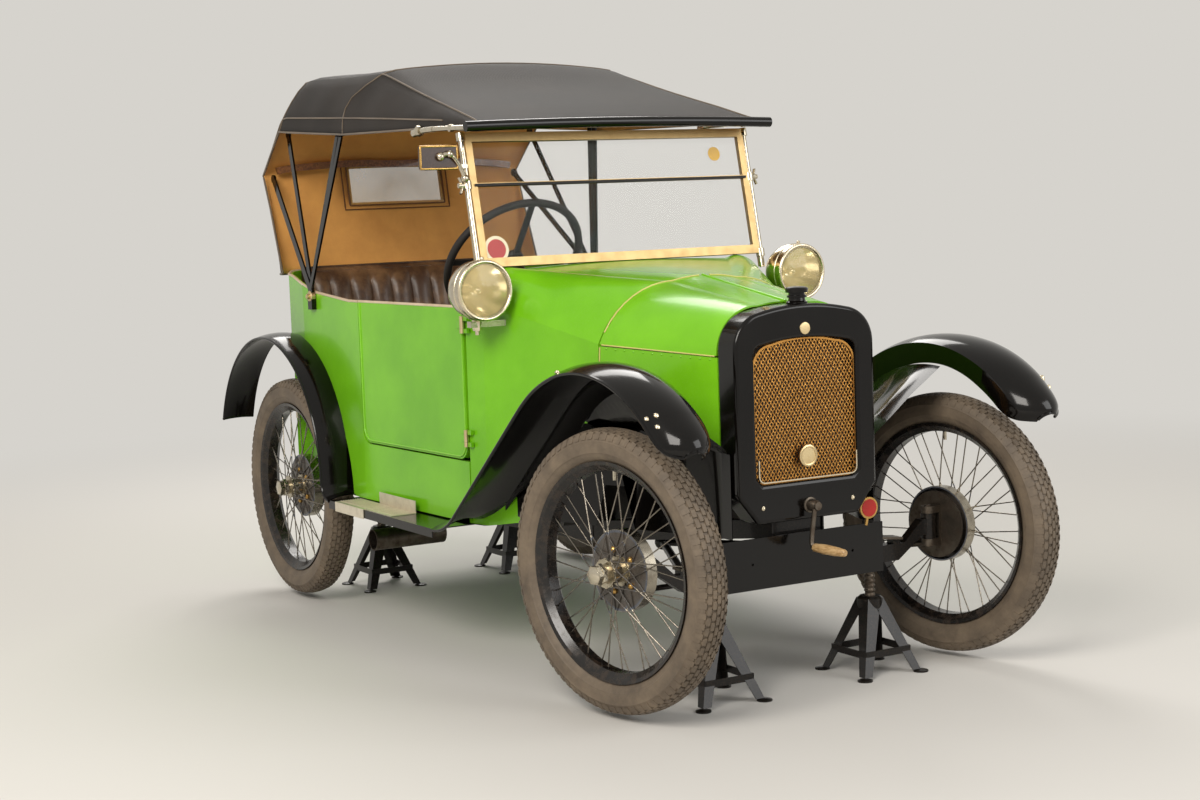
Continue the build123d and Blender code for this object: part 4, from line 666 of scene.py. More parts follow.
def meshOutline():
    # the opening's outline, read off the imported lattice: square foot, arched top with round shoulders
    low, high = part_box("radiator_grille")
    half, foot, top = (high.y - low.y) / 2, low.z, high.z
    shoulder, rise = meshLook["shoulder"] / 1000, meshLook["rise"] / 1000
    turn = np.linspace(0, np.pi / 2, 8)
    right = np.stack([half - shoulder + shoulder * np.cos(turn),
                      top - rise - shoulder + shoulder * np.sin(turn)], 1)
    crown = np.stack([np.linspace(half - shoulder, shoulder - half, 9)[1:-1],
                      top - rise * np.linspace(1, -1, 9)[1:-1] ** 2], 1)
    left = right[::-1] * np.array([-1.0, 1.0])
    return np.concatenate([[[-half, foot], [half, foot]], right, crown, left]), (low.x + high.x) / 2


def clippedLine(outline, angle, offset):
    # where the line with that angle and offset from the outline's middle enters and leaves a convex outline
    middle = np.array([0.0, (outline[:, 1].min() + outline[:, 1].max()) / 2])
    along = np.array([math.cos(angle), math.sin(angle)])
    square = np.array([-along[1], along[0]])
    side = (outline - middle) @ square - offset
    after = np.roll(side, -1)
    crossing = np.nonzero(side * after < 0)[0]
    if len(crossing) < 2:
        return None
    share = side[crossing] / (side[crossing] - after[crossing])
    hits = outline[crossing] + share[:, None] * (np.roll(outline, -1, 0)[crossing] - outline[crossing])
    hits = hits[np.argsort((hits - middle) @ along)]
    return hits[0], hits[-1]


# two sets of strips cross at a slant; each waves over and under, half a turn out of step with the other set
outline, meshX = meshOutline()
wires = []
pitch, wire, weave = (meshLook[key] / 1000 for key in ("pitch", "wire", "weave"))
step = pitch * math.sin(math.radians(2 * (90 - meshLook["lean"])))
for n, lean in enumerate((meshLook["lean"], 180 - meshLook["lean"])):
    for offset in np.arange(-0.30, 0.30, step) + 0.0007:
        ends = clippedLine(outline, math.radians(lean), offset)
        length = 0.0 if ends is None else np.linalg.norm(ends[1] - ends[0])
        if length < 0.006:
            continue
        along = np.linspace(0, 1, max(int(length / (pitch / 2)), 2))
        flat = ends[0] + along[:, None] * (ends[1] - ends[0])
        phase = np.round(offset / step) + along * length / pitch
        path = np.stack([meshX + weave * np.cos(np.pi * phase + np.pi * n), flat[:, 0], flat[:, 1]], 1)
        wires.append(carryAlong(path, boxProfile(2.2 * wire, 1.5 * wire), (1.0, 0.0, 0.0)))
rim = carryAlong(np.stack([np.full(len(outline), meshX + 0.001), outline[:, 0], outline[:, 1]], 1),
                 boxProfile(0.005, 0.004), (1.0, 0.0, 0.0), closed=True)
showPiece("radiator_mesh", joinShells(wires + [rim]), "meshBrass", "car", ["radiator_grille"],
          sharp=50.0)
print("car: radiator mesh woven from", len(wires), "strips")

# the hood: one cloth pulled over three bows and down behind, with a clear light sewn into the curtain

hoodLook = {
    "sag": 9.0, "drag": 3.0, "ripple": 1.4, "billow": 2.2, "thick": 2.4, "piping": 2.6, "paneSide": 157.0,
    "between": (5, 5, 6, 8, 7, 7, 5, 5, 2, 5, 8),
    # each bow: its station, how far it lies under the cloth and how far ahead of the station
    "bows": ((4, 19.0, 2.0), (6, 22.0, 12.0), (8, 15.0, 26.0)),
}
# each row: lower edge, valance piping, side middle, top corner as (x, y, z), then the crown's x and z
hoodRows = [
    [(226, 452, 1380), (226, 450, 1387), (226, 446, 1394), (226, 440, 1400), (226, 1407)],
    [(60, 460, 1392), (50, 460, 1417), (56, 446, 1432), (60, 430, 1446), (62, 1457)],
    [(-107, 462, 1398), (-107, 461, 1424), (-107, 442, 1458), (-107, 417, 1491), (-105, 1508)],
    [(-340, 462, 1401), (-340, 461, 1437), (-320, 436, 1488), (-270, 406, 1535), (-262, 1555)],
    [(-606, 462, 1405), (-610, 457, 1452), (-616, 430, 1513), (-434, 395, 1580), (-418, 1603)],
    [(-850, 462, 1419), (-850, 459, 1463), (-840, 430, 1524), (-734, 395, 1590), (-715, 1610)],
    [(-1100, 462, 1434), (-1082, 460, 1475), (-1066, 430, 1532), (-1032, 395, 1597), (-1011, 1616)],
    [(-1180, 462, 1366), (-1176, 459, 1381), (-1168, 442, 1412), (-1152, 414, 1452), (-1142, 1478)],
    [(-1256, 461, 1300), (-1258, 456, 1304), (-1261, 446, 1309), (-1264, 434, 1315), (-1266, 1340)],
    [(-1250, 461, 1288), (-1252, 457, 1292), (-1256, 448, 1298), (-1260, 438, 1306), (-1263, 1322)],
    [(-1212, 460, 1198), (-1220, 456, 1198), (-1232, 448, 1200), (-1240, 440, 1202), (-1243, 1207)],
    [(-1128, 462, 990), (-1152, 458, 988), (-1178, 450, 986), (-1200, 438, 984), (-1204, 984)],
]


def crownLine(corner, crown, share):
    # the top between its corner and the crown is a parabola, so the arch is fullest in the middle
    y = corner[1] * share
    return (crown[0] + (corner[0] - crown[0]) * share ** 2, y, crown[1] + (corner[2] - crown[1]) * share ** 2)


def hoodGrid():
    # half rows mirrored about the middle, straight steps from station to station, then lightly smoothed
    look = hoodLook
    half = []
    for low, pipe, middle, corner, crown in hoodRows:
        paneShare = look["paneSide"] / corner[1]
        shares = (0.92, 0.82, 0.68, 0.52, paneShare, paneShare * 0.66, paneShare * 0.33, 0.0)
        side = [low, [0.5 * (a + b) for a, b in zip(low, pipe)], pipe,
                [0.5 * (a + b) for a, b in zip(pipe, middle)], middle,
                [0.5 * (a + b) for a, b in zip(middle, corner)], corner]
        half.append(side + [crownLine(corner, crown, s) for s in shares])
    half = np.array(half, float)
    whole = np.concatenate([half * np.array([1, -1, 1]), half[:, -2::-1]], 1)
    fine = [whole[0]]
    for a, b, steps in zip(whole[:-1], whole[1:], look["between"]):
        fine += [a + (b - a) * k / steps for k in range(1, steps + 1)]
    return smoothed(np.array(fine), 3, 0.4), np.cumsum([0] + list(look["between"]))


hood, hoodStations = hoodGrid()
stepsDown = np.linalg.norm(np.diff(hood, axis=0), axis=2)
stepsAcross = np.linalg.norm(np.diff(hood, axis=1), axis=2)
hoodAlong = np.concatenate([np.zeros((1, hood.shape[1])), np.cumsum(stepsDown, 0)]) / 1000
hoodAcross = np.concatenate([np.zeros((hood.shape[0], 1)), np.cumsum(stepsAcross, 1)], 1) / 1000
columns = hood.shape[1]
cornerColumns = (6, columns - 7)
paneColumns = (11, columns - 12)

# sag between the bows and drag lines that run down from the bow corners
rowAt = np.arange(hood.shape[0], dtype=float)
acrossAt = np.linspace(-1, 1, columns)
topShare = np.clip(1.25 - np.abs(acrossAt) * 1.6, 0, 1) ** 0.7
for first, last, depth in ((0, 4, 1.2), (4, 6, 1.0), (6, 8, 0.7)):
    share = np.clip((rowAt - hoodStations[first]) / (hoodStations[last] - hoodStations[first]), 0, 1)
    sag = np.sin(np.pi * share) ** 2 * hoodLook["sag"] * depth
    hood[:, :, 2] -= sag[:, None] * topShare[None, :]
fromBow = rowAt[:, None] - hoodStations[4]
column = np.arange(columns)
for side, corner in ((-1, cornerColumns[0]), (1, cornerColumns[1])):
    down = np.clip((corner - column) * -side / 6.0, 0, 1)
    drag = np.exp(-(fromBow / 9.0) ** 2) * np.sin(fromBow * 0.95 + down * 3.4) * np.sin(np.pi * down) ** 1.2
    ripple = np.sin(rowAt[:, None] * 1.7 + column * 0.6) * np.exp(-((rowAt[:, None] - 9) / 6.0) ** 2)
    hood[:, :, 1] += side * hoodLook["drag"] * drag
    hood[:, :, 1] += side * hoodLook["ripple"] * ripple * np.sin(np.pi * down)
behind = np.clip((rowAt - hoodStations[9]) / (hoodStations[11] - hoodStations[9]), 0, 1)
billow = np.sin(np.pi * behind)[:, None] * np.cos(np.linspace(-5.5, 5.5, columns) * np.pi)
hood[:, :, 0] -= hoodLook["billow"] * billow

hoodPoints, hoodQuads = gridShell(placed(hood))
cellRow, cellColumn = np.divmod(np.arange(len(hoodQuads)), columns - 1)
inPane = ((cellRow >= hoodStations[9]) & (cellRow < hoodStations[10])
          & (cellColumn >= paneColumns[0]) & (cellColumn < paneColumns[1]))
hoodUv = np.stack([hoodAcross.ravel(), hoodAlong.ravel()], 1)
cover = showPiece("hood_cloth_cover", (hoodPoints, hoodQuads[~inPane]), "hoodCloth", "car",
                  ["hood_cover"], uv=hoodUv, sharp=60.0, merge=False)
cover.data.materials.append(finishes["hoodLining"])

# the outer face stays where it is, and the wall adds the lining as the cloth's second material
normals = np.zeros(3 * len(cover.data.polygons))
cover.data.polygons.foreach_get("normal", normals)
if normals.reshape(-1, 3)[:, 2].sum() < 0:
    cover.data.flip_normals()
wall = cover.modifiers.new("wall", "SOLIDIFY")
wall.thickness = hoodLook["thick"] / 1000
wall.offset = -1.0
wall.material_offset = 1
wall.use_even_offset = False


def alongHood(rows, columnsAt, radius):
    # a cord laid on the cloth along a run of grid points, lifted away from the car's inside
    path = placed(hood)[rows, columnsAt]
    out = path * np.array([0.0, 1.0, 1.0]) - np.array([0.0, 0.0, 1.1])
    out /= np.linalg.norm(out, axis=1, keepdims=True)
    return carryAlong(path + out * (radius * 0.4), roundProfile(radius, 6), (0.03, 0.11, 1.0))


pipeRadius = hoodLook["piping"] / 1000
allRows, allColumns = np.arange(hood.shape[0]), np.arange(columns)
cords = [alongHood(allRows[hoodStations[1]:hoodStations[8] + 1], column, pipeRadius)
         for column in (2, columns - 3)]
cords += [alongHood(allRows[:hoodStations[4] + 1], column, pipeRadius) for column in cornerColumns]
cords += [alongHood(allRows, column, pipeRadius * 1.3) for column in (0, columns - 1)]
cords += [alongHood(hoodStations[station], allColumns, pipeRadius * scale)
          for station, scale in ((4, 0.8), (6, 0.8), (8, 1.0), (11, 1.3))]
bindings = showPiece("hood_piping", joinShells(cords), "hoodPiping", "car", sharp=60.0)

# light of aged celluloid in a stitched border
paneCorners = hood[np.ix_([hoodStations[9], hoodStations[10]], paneColumns)]


def onPane(u, v):
    # straight both ways between the light's four corners
    u, v = u[..., None], v[..., None]
    return ((paneCorners[0, 0] * (1 - u) + paneCorners[0, 1] * u) * (1 - v)
            + (paneCorners[1, 0] * (1 - u) + paneCorners[1, 1] * u) * v)


u, v = np.meshgrid(np.linspace(0, 1, 20), np.linspace(0, 1, 10))
paneGrid = onPane(1.06 * u - 0.03, 1.12 * v - 0.06)
paneGrid[..., 0] += 6.0 + 2.5 * np.sin(3.1 * np.pi * u + 0.6) * np.sin(np.pi * v)
paneGrid[..., 0] += 1.2 * np.cos(9 * u + 4 * v)
showPiece("rear_light", gridShell(placed(paneGrid)), "celluloid", "car", sharp=70.0)
borders = []
for inset, width in ((-0.035, 9.0), (-0.09, 2.0)):
    square = closedRun([(-0.5, -0.5), (0.5, -0.5), (0.5, 0.5), (-0.5, 0.5)], 13)
    ring = onPane(0.5 + square[:, 0] * (1 - 2 * inset), 0.5 + square[:, 1] * (1 - 4.4 * inset))
    borders.append(carryAlong(placed(ring + np.array([4.5, 0.0, 0.0])), boxProfile(0.004, width / 1000),
                              (1.0, 0.0, 0.05), closed=True))
showPiece("rear_light_border", joinShells(borders), "liningTape", "car", sharp=40.0)

# ash bows under the cloth, black header rail with its ends past the posts, plated corner fittings
bows = []
for station, drop, ahead in hoodLook["bows"]:
    run = hood[hoodStations[station], 5:columns - 5].copy()
    inwards = np.array([0.0, 1250.0]) - run[:, 1:]
    run[:, 1:] += inwards / np.linalg.norm(inwards, axis=1, keepdims=True) * drop
    run[:, 0] += ahead
    bows.append(carryAlong(placed(run), boxProfile(0.022, 0.014), (1.0, 0.02, 0.03)))
showPiece("hood_bows", joinShells(bows), "ash", "car", sharp=40.0)
headerLook = {"x": 231.0, "half": 482.0, "z": 1391.0, "rise": 7.0, "radius": 14.0}
across = np.linspace(-1, 1, 15)
headerArc = np.stack([np.full(15, headerLook["x"]), headerLook["half"] * across,
                      headerLook["z"] + headerLook["rise"] * (1 - across ** 2)], 1)
header = carryAlong(placed(headerArc), roundProfile(headerLook["radius"] / 1000, 12, 0.95), (1.0, 0.0, 0.02))
showPiece("header_rail", header, "wingBlack", "car", sharp=50.0)
fittings = []
for side in (-1, 1):
    bar = placed([[218, side * 466, 1389], [120, side * 468, 1392], [20, side * 469, 1394],
                  [-70, side * 469, 1393], [-104, side * 468, 1388]])
    for k, radius in enumerate((0.0075, 0.0075, 0.0085, 0.012)):
        fittings.append(carryAlong(bar[k:k + 2], roundProfile(radius), (0.0, 0.05, 1.0)))
    fittings.append(revolved([[-0.012, 0.0], [-0.012, 0.012], [0.0, 0.016], [0.012, 0.012], [0.012, 0.0]],
                             bar[3], (1, 0, 0), 16))
    fittings.append(turnedDisc(-0.006, 0.006, 0.010, bar[1], (0, 1, 0), 14))
showPiece("hood_corner_fittings", joinShells(fittings), "nickel", "car", sharp=40.0)
print("car: hood done")

# seats: pleated hide over stuffed flutes, each pad a closed form

seatLook = {"flute": 17.0, "pipe": 3.2, "rows": 25, "frontMiddle": 215.0}


def pleatedPad(corner, across, up, out, size, flutes, belly):
    # front: base depth x rounded edges + |sin| flutes that die out at the ends; back: flat, closing the loop
    width, height, depth = size
    u, v = np.meshgrid(np.linspace(0, 1, flutes * 8 + 1), np.linspace(0, 1, seatLook["rows"]))
    rise = (1 - np.abs(2 * v - 1) ** 7) ** 0.5 * (1 - np.abs(2 * u - 1) ** 14) ** 0.5
    tufts = np.abs(np.sin(np.pi * flutes * u)) ** 0.55
    ends = np.clip(np.sin(np.pi * v) * 3.0, 0, 1)
    wander = 2.0 * np.sin(7.0 * v + 11.0 * np.floor(u * flutes)) * np.sin(np.pi * v)
    stuffing = depth * (0.62 + belly * np.sin(np.pi * v))
    front = np.maximum(rise * (stuffing + seatLook["flute"] * tufts * ends + wander * tufts), 0.0)
    pull = 1.0 - 0.012 * np.sin(np.pi * v)
    across, up, out = (np.asarray(a, float) for a in (across, up, out))
    flat = (np.asarray(corner, float) + ((u - 0.5) * pull + 0.5)[..., None] * width * across
            + v[..., None] * height * up)
    faces = flat + front[..., None] * out
    back = flat[:, ::-1] - 0.12 * depth * rise[:, ::-1, None] * out
    return gridShell(placed(np.concatenate([faces, back], 1)), closeColumns=True)


pads = {
    "rear_seat_back": pleatedPad((-1075, -394, 480), (0, 1, 0), unit([-65, 0, 525]), unit([525, 0, 65]),
                                 (788, 528, 84), 11, 0.1),
    "rear_seat_cushion": pleatedPad((-1048, -416, 500), (0, 1, 0), (1, 0, 0), (0, 0, 1),
                                    (832, 336, 78), 11, 0.1),
}
for name, middle in (("right", -seatLook["frontMiddle"]), ("left", seatLook["frontMiddle"])):
    pads["front_seat_back_" + name] = pleatedPad((-372, middle - 183, 462), (0, 1, 0), unit([-60, 0, 405]),
                                                 unit([405, 0, 60]), (366, 402, 62), 5, 0.15)
    pads["front_seat_cushion_" + name] = pleatedPad((-338, middle - 183, 470), (0, 1, 0), (1, 0, 0),
                                                    (0, 0, 1), (366, 416, 78), 5, 0.12)
for n, (name, shell) in enumerate(pads.items()):
    pad = showPiece(name, shell, "hide", "car", ["seats"] if n == 0 else (), sharp=70.0)

middles = (-seatLook["frontMiddle"], seatLook["frontMiddle"])
bases = [boxShell((-310, middle - 150, 355), (50, middle + 150, 470)) for middle in middles]
bases += [boxShell((-398, middle - 178, 458), (-372, middle + 178, 852)) for middle in middles]
bases.append(boxShell((-1046, -414, 474), (-714, 414, 502)))
bases.append(boxShell((-1142, -394, 480), (-1108, 394, 992)))
showPiece("seat_bases", joinShells(bases), "hideBack", "car", sharp=40.0)
welts = []
for name in ("rear_seat_back", "front_seat_back_right", "front_seat_back_left"):
    grid = pads[name][0].reshape(seatLook["rows"], -1, 3)
    head = grid[-1, :grid.shape[1] // 2] + np.array([0.004, 0.0, 0.0])
    welts.append(carryAlong(head, roundProfile(seatLook["pipe"] / 1000, 6), (1.0, 0.02, 0.05)))
showPiece("seat_welts", joinShells(welts), "hideBack", "car", sharp=70.0)
print("car: seats done")

# headlamps: rolled rims, domed lenses, bowls and bulbs

lampLook = {
    "x": 329.0, "y": 500.0, "z": 969.0, "lens": 67.6, "bowl": 68.0,
    "foot": ((-20, 0), (-20, 6), (-9, 6), (-9, 12), (0, 13), (14, 15.5), (20, 12.5), (20, 0)),
}
rims, lenses, bowls, bulbs, brackets = [], [], [], [], []
for side in (-1, 1):
    spot = np.array([lampLook["x"], side * lampLook["y"], lampLook["z"]])
    centre = placed(spot)
    turn = np.linspace(0, 2 * np.pi, 13)
    for ahead, radius, roll in ((12.0, 74.0, 5.0), (-13.0, 76.0, 3.0)):
        bead = np.stack([ahead + roll * np.cos(turn), radius + roll * np.sin(turn)], 1)
        rims.append(turnedPiece(bead, spot, (1, 0, 0), 64))
    rims.append(scattered(headShell(0.005, 0.006, 6, 0.002), centre + np.array([[0.0, 0.0, 0.079]]),
                          *np.eye(3)[:, None]))
    radius = np.linspace(0, lampLook["lens"], 14)
    dome = np.stack([12.0 + 11.0 * (1 - (radius / lampLook["lens"]) ** 2), radius], 1)
    lens = np.concatenate([dome, dome[::-1] - np.array([3.0, 0.0])])
    lenses.append(turnedPiece(lens, spot, (1, 0, 0), 64))
    bowl = np.stack([-72.0 + 74.0 * (radius / lampLook["bowl"]) ** 2, radius], 1)
    bowl = np.concatenate([bowl, bowl[::-1] + np.array([1.5, 0.0])])
    bowls.append(turnedPiece(bowl, spot, (1, 0, 0), 48))
    polar = np.linspace(0, np.pi, 10)
    bulb = np.stack([-34.0 - 13.0 * np.cos(polar), 11.0 * np.sin(polar)], 1)
    bulbs.append(turnedPiece(bulb, spot, (1, 0, 0), 24))
    brackets.append(turnedDisc(-0.072, -0.047, 0.008, centre, (1, 0, 0), 16))
    brackets.append(turnedPiece(lampLook["foot"], spot - np.array([40.0, 0.0, 96.0]), (0, 0, 1), 6))
showPiece("lamp_rims", joinShells(rims), "paleNickel", "car", sharp=50.0)
showPiece("lamp_lenses", joinShells(lenses), "lensGlass", "car", ["headlamp_glasses"], sharp=60.0)
showPiece("lamp_bowls", joinShells(bowls), "silvering", "car", sharp=60.0)
showPiece("lamp_bulbs", joinShells(bulbs + brackets), "paleNickel", "car", sharp=40.0)
print("car: lamps done")

# windscreen: plated stanchions with wing nuts, dark division strip, plain enamelled discs

screenLook = {"low": (221.0, 1024.0), "high": (145.0, 1378.0), "half": 444.0, "split": 222.0, "behind": -8.0}
screenUp = unit([screenLook["high"][0] - screenLook["low"][0], 0.0,
                 screenLook["high"][1] - screenLook["low"][1]])
screenOut = np.array([screenUp[2], 0.0, -screenUp[0]])


def onScreen(y, height, out=0.0):
    # up the raked pane from its foot, then square to it
    return np.array([screenLook["low"][0], y, screenLook["low"][1]]) + height * screenUp + out * screenOut


posts, strips = [], []
split, behind = screenLook["split"], screenLook["behind"]
for side in (-1, 1):
    outer = side * (screenLook["half"] + 6.5)
    posts.append(roundBar(placed(onScreen(outer, -40, behind)), placed(onScreen(outer, 364, behind)),
                          0.0082, 16))
    for height in (2.0, split, 352.0):
        posts.append(turnedDisc(-0.011, 0.011, 0.0125, placed(onScreen(outer, height, behind)), screenUp, 16))
    hub = placed(onScreen(outer + side * 14, split, behind))
    posts.append(revolved([[-0.010, 0.0], [-0.010, 0.009], [0.012, 0.007], [0.014, 0.0]], hub,
                          (0, side, 0), 14))
    for way in (-1, 1):
        tip = placed(onScreen(outer + side * 22, split + way * 22, behind))
        posts.append(carryAlong(np.linspace(hub, tip, 5), roundProfile(0.0062, 8, 0.5), (0.0, 1.0, 0.1)))
showPiece("screen_stanchions", joinShells(posts), "nickel", "car", sharp=45.0)
for height, out in ((split, 0.8), (split - 3.5, 0.0), (split, -15.0)):
    run = placed(np.array([onScreen(y, height, out) for y in np.linspace(-432, 432, 9)]))
    strips.append(carryAlong(run, boxProfile(0.003, 0.0085), (1.0, 0.0, 0.2)))
showPiece("screen_division", joinShells(strips), "ebonite", "car", sharp=40.0)
for name, y, height, radius, lift, finish in (
        ("screen_disc_rim", -393.0, 47.0, 36.0, -2.2, "creamEnamel"),
        ("screen_disc", -393.0, 47.0, 27.0, -1.6, "redEnamel"),
        ("screen_disc_upper", 338.0, 290.0, 20.0, -2.2, "yellowEnamel")):
    disc = turnedDisc(0.0, 0.0006, radius / 1000, placed(onScreen(y, height, lift)), screenOut, 40)
    showPiece(name, disc, finish, "car", sharp=40.0)

# mirror: brown japanned back, brass edge, ball and clamp arm

mirrorLook = {"at": (170.0, -535.0, 1314.0), "edge": 3.4, "arm": 5.8}
mirrorAt = np.array(mirrorLook["at"])
shell = boxShell(mirrorAt - (5.5, 53.5, 29.5), mirrorAt + (8.2, 53.5, 29.5))
showPiece("mirror_back", shell, "brownJapan", "car", sharp=40.0)
ring = closedRun([(6.5, -53.0, -29.0), (6.5, 53.0, -29.0), (6.5, 53.0, 29.0), (6.5, -53.0, 29.0)], 8)
edge = carryAlong(placed(mirrorAt + ring), roundProfile(mirrorLook["edge"] / 1000, 8), (1.0, 0.0, 0.0),
                  closed=True)
showPiece("mirror_edge", edge, "brass", "car", sharp=50.0)
arm = placed([[181, -533, 1316], [186, -522, 1322], [187, -508, 1322], [184, -494, 1312], [180, -480, 1296],
              [177, -468, 1276], [174, -460, 1258], [171, -456, 1246]])
clamp = [carryAlong(arm, roundProfile(mirrorLook["arm"] / 1000), (1.0, 0.1, 0.0))]
polar = np.linspace(0, np.pi, 9)
for spot, radius in ((arm[0], 0.012), (arm[2], 0.010), (arm[6], 0.011)):
    ball = np.stack([-radius * np.cos(polar), radius * np.sin(polar)], 1)
    clamp.append(revolved(ball, spot, (1, 0, 0), 18))
showPiece("mirror_arm", joinShells(clamp), "nickel", "car", sharp=45.0)
print("car: screen and mirror done")

# wings: the sections of the arch run on down the slope into the board, thin sheet with a wired edge

wingLook = {
    "half": 584.0, "inner": 434.0, "middle": 510.0, "crown": 512.0, "frontX": 958.0, "frontZ": 311.0,
    "frontR": 490.0, "slope": 39.0, "footR": 200.0, "board": 336.0, "lip": 7.0, "skirt": 65.0, "sheet": 2.4,
    "rearX": -1015.0, "rearZ": 383.0, "rearR": 415.0, "rearInner": 478.0, "rearCrown": 540.0,
    "rearTail": 162.0, "wire": 4.2, "bolts": ((34, 2), (35, 4), (39, 3), (9, 3)),
}
# turn from upright, then outer lip's y and radius, crown radius, inner edge's y, skirt head and foot radius
archRows = [
    (-39, 584, 490, 510, 434, 496, 418), (-28, 584, 490, 510, 434, 494, 425),
    (-16, 584, 490, 509, 434, 492, 432), (-4, 584, 489, 508, 434, 490, 437),
    (8, 584, 487, 509, 435, 487, 440), (18, 583, 484, 512, 436, 483, 438),
    (27, 582, 480, 515, 436, 480, 434), (34, 581, 474, 516, 436, 475, 432),
    (38, 579, 470, 515, 436, 472, 431), (42, 575, 468, 514, 440, 468, 434),
    (45, 566, 470, 511, 450, 466, 444), (47, 550, 476, 505, 466, 468, 456),
    (48.2, 534, 482, 497, 484, 474, 464),
]


def throughPoints(rows, between):
    # cubic spans through the rows: the slope at a row follows its two neighbours
    rows = np.asarray(rows, float)
    padded = np.concatenate([2 * rows[:1] - rows[1:2], rows, 2 * rows[-1:] - rows[-2:-1]])
    fine = []
    for n in range(len(rows) - 1):
        p0, p1, p2, p3 = padded[n:n + 4]
        for t in np.arange(between) / between:
            fine.append(0.5 * (2 * p1 + (p2 - p0) * t + (2 * p0 - 5 * p1 + 4 * p2 - p3) * t ** 2
                               + (3 * p1 - p0 - 3 * p2 + p3) * t ** 3))
    fine.append(rows[-1])
    return np.array(fine)


def arcThrough(first, middle, last, count):
    # points on the circle through three points of a section
    (ax, ay), (bx, by), (cx, cy) = first, middle, last
    a2, b2, c2 = ax ** 2 + ay ** 2, bx ** 2 + by ** 2, cx ** 2 + cy ** 2
    d = 2 * (ax * (by - cy) + bx * (cy - ay) + cx * (ay - by))
    ux = (a2 * (by - cy) + b2 * (cy - ay) + c2 * (ay - by)) / d
    uy = (a2 * (cx - bx) + b2 * (ax - cx) + c2 * (bx - ax)) / d
    angles = np.unwrap([math.atan2(y - uy, x - ux) for x, y in (first, middle, last)])
    turn = np.linspace(angles[0], angles[2], count)
    radius = math.hypot(ax - ux, ay - uy)
    return np.stack([ux + radius * np.cos(turn), uy + radius * np.sin(turn)], 1)


def wingSection(outY, outH, midY, midH, inY, inH, footH, side):
    # closed thin section as (y, height): wired lip, crowned top, inner skirt, and back along the under face
    sheet, lip = wingLook["sheet"], wingLook["lip"]
    top = arcThrough((outY, outH), (midY, midH), (inY, inH), 17)
    under = arcThrough((outY - sheet, outH - sheet), (midY, midH - sheet), (inY + sheet, inH - sheet), 17)
    loop = np.concatenate([[[outY, outH - lip]], top, [[inY, footH]], [[inY + sheet, footH]], under[::-1],
                           [[outY - sheet, outH - lip]]])
    return loop * np.array([side, 1.0])


def wingRow(flat, x, z, turn):
    # a section stood up at x and z, its height leaning forward by the turn
    return np.stack([x + flat[:, 1] * math.sin(turn), flat[:, 0], z + flat[:, 1] * math.cos(turn)], 1)


def wingShell(side):
    # from the board up the foot's curve and the straight slope, the skirt deepening, then over the arch
    look = wingLook
    slope = math.radians(look["slope"])
    topX = look["frontX"] - look["frontR"] * math.sin(slope)
    topZ = look["frontZ"] + look["frontR"] * math.cos(slope)
    run = (topZ - look["board"]) / math.sin(slope) - look["footR"] * (1 - math.cos(slope)) / math.sin(slope)
    lowX, lowZ = topX - run * math.cos(slope), topZ - run * math.sin(slope)
    centreX, centreZ = lowX - look["footR"] * math.sin(slope), lowZ + look["footR"] * math.cos(slope)
    spots = [(centreX + look["footR"] * math.sin(turn), centreZ - look["footR"] * math.cos(turn), turn, 0.0)
             for turn in np.linspace(0.0, slope, 9)[:-1]]
    spots += [(lowX + (topX - lowX) * share, lowZ + (topZ - lowZ) * share, slope,
               look["skirt"] * share ** 1.6) for share in np.linspace(0.0, 1.0, 9)[:-1]]
    rows = []
    for x, z, turn, skirt in spots:
        flat = wingSection(look["half"], 0.0, look["crown"], 20.0, look["inner"], 6.0, -look["lip"] - skirt,
                           side)
        rows.append(wingRow(flat, x, z, -turn))
    for turn, outY, outR, midR, inY, topR, lowR in throughPoints(archRows, 5):
        flat = wingSection(outY, outR, look["middle"], midR, inY, topR, lowR, side)
        rows.append(wingRow(flat, look["frontX"], look["frontZ"], math.radians(turn)))
    rows = np.array(rows)
    return rows, ringShell(rows)


def rearWingShell(side):
    # one section carried round the arch from the tail, then down a tighter curve to the board
    look = wingLook
    footR = look["rearZ"] - look["board"]
    spots = [(look["rearX"] + look["rearR"] * math.cos(a), look["rearZ"] + look["rearR"] * math.sin(a), a)
             for a in np.radians(np.linspace(look["rearTail"], 0.0, 55))]
    spots += [(look["rearX"] + look["rearR"] + footR * (1 - math.cos(a)), look["rearZ"] - footR * math.sin(a),
               a) for a in np.linspace(0.0, math.pi / 2, 9)[1:]]
    flat = wingSection(look["half"], 0.0, look["rearCrown"], 10.0, look["rearInner"], 6.0, 3.0, side)
    rows = np.array([wingRow(flat, x, z, math.pi / 2 - angle) for x, z, angle in spots])
    return rows, ringShell(rows)


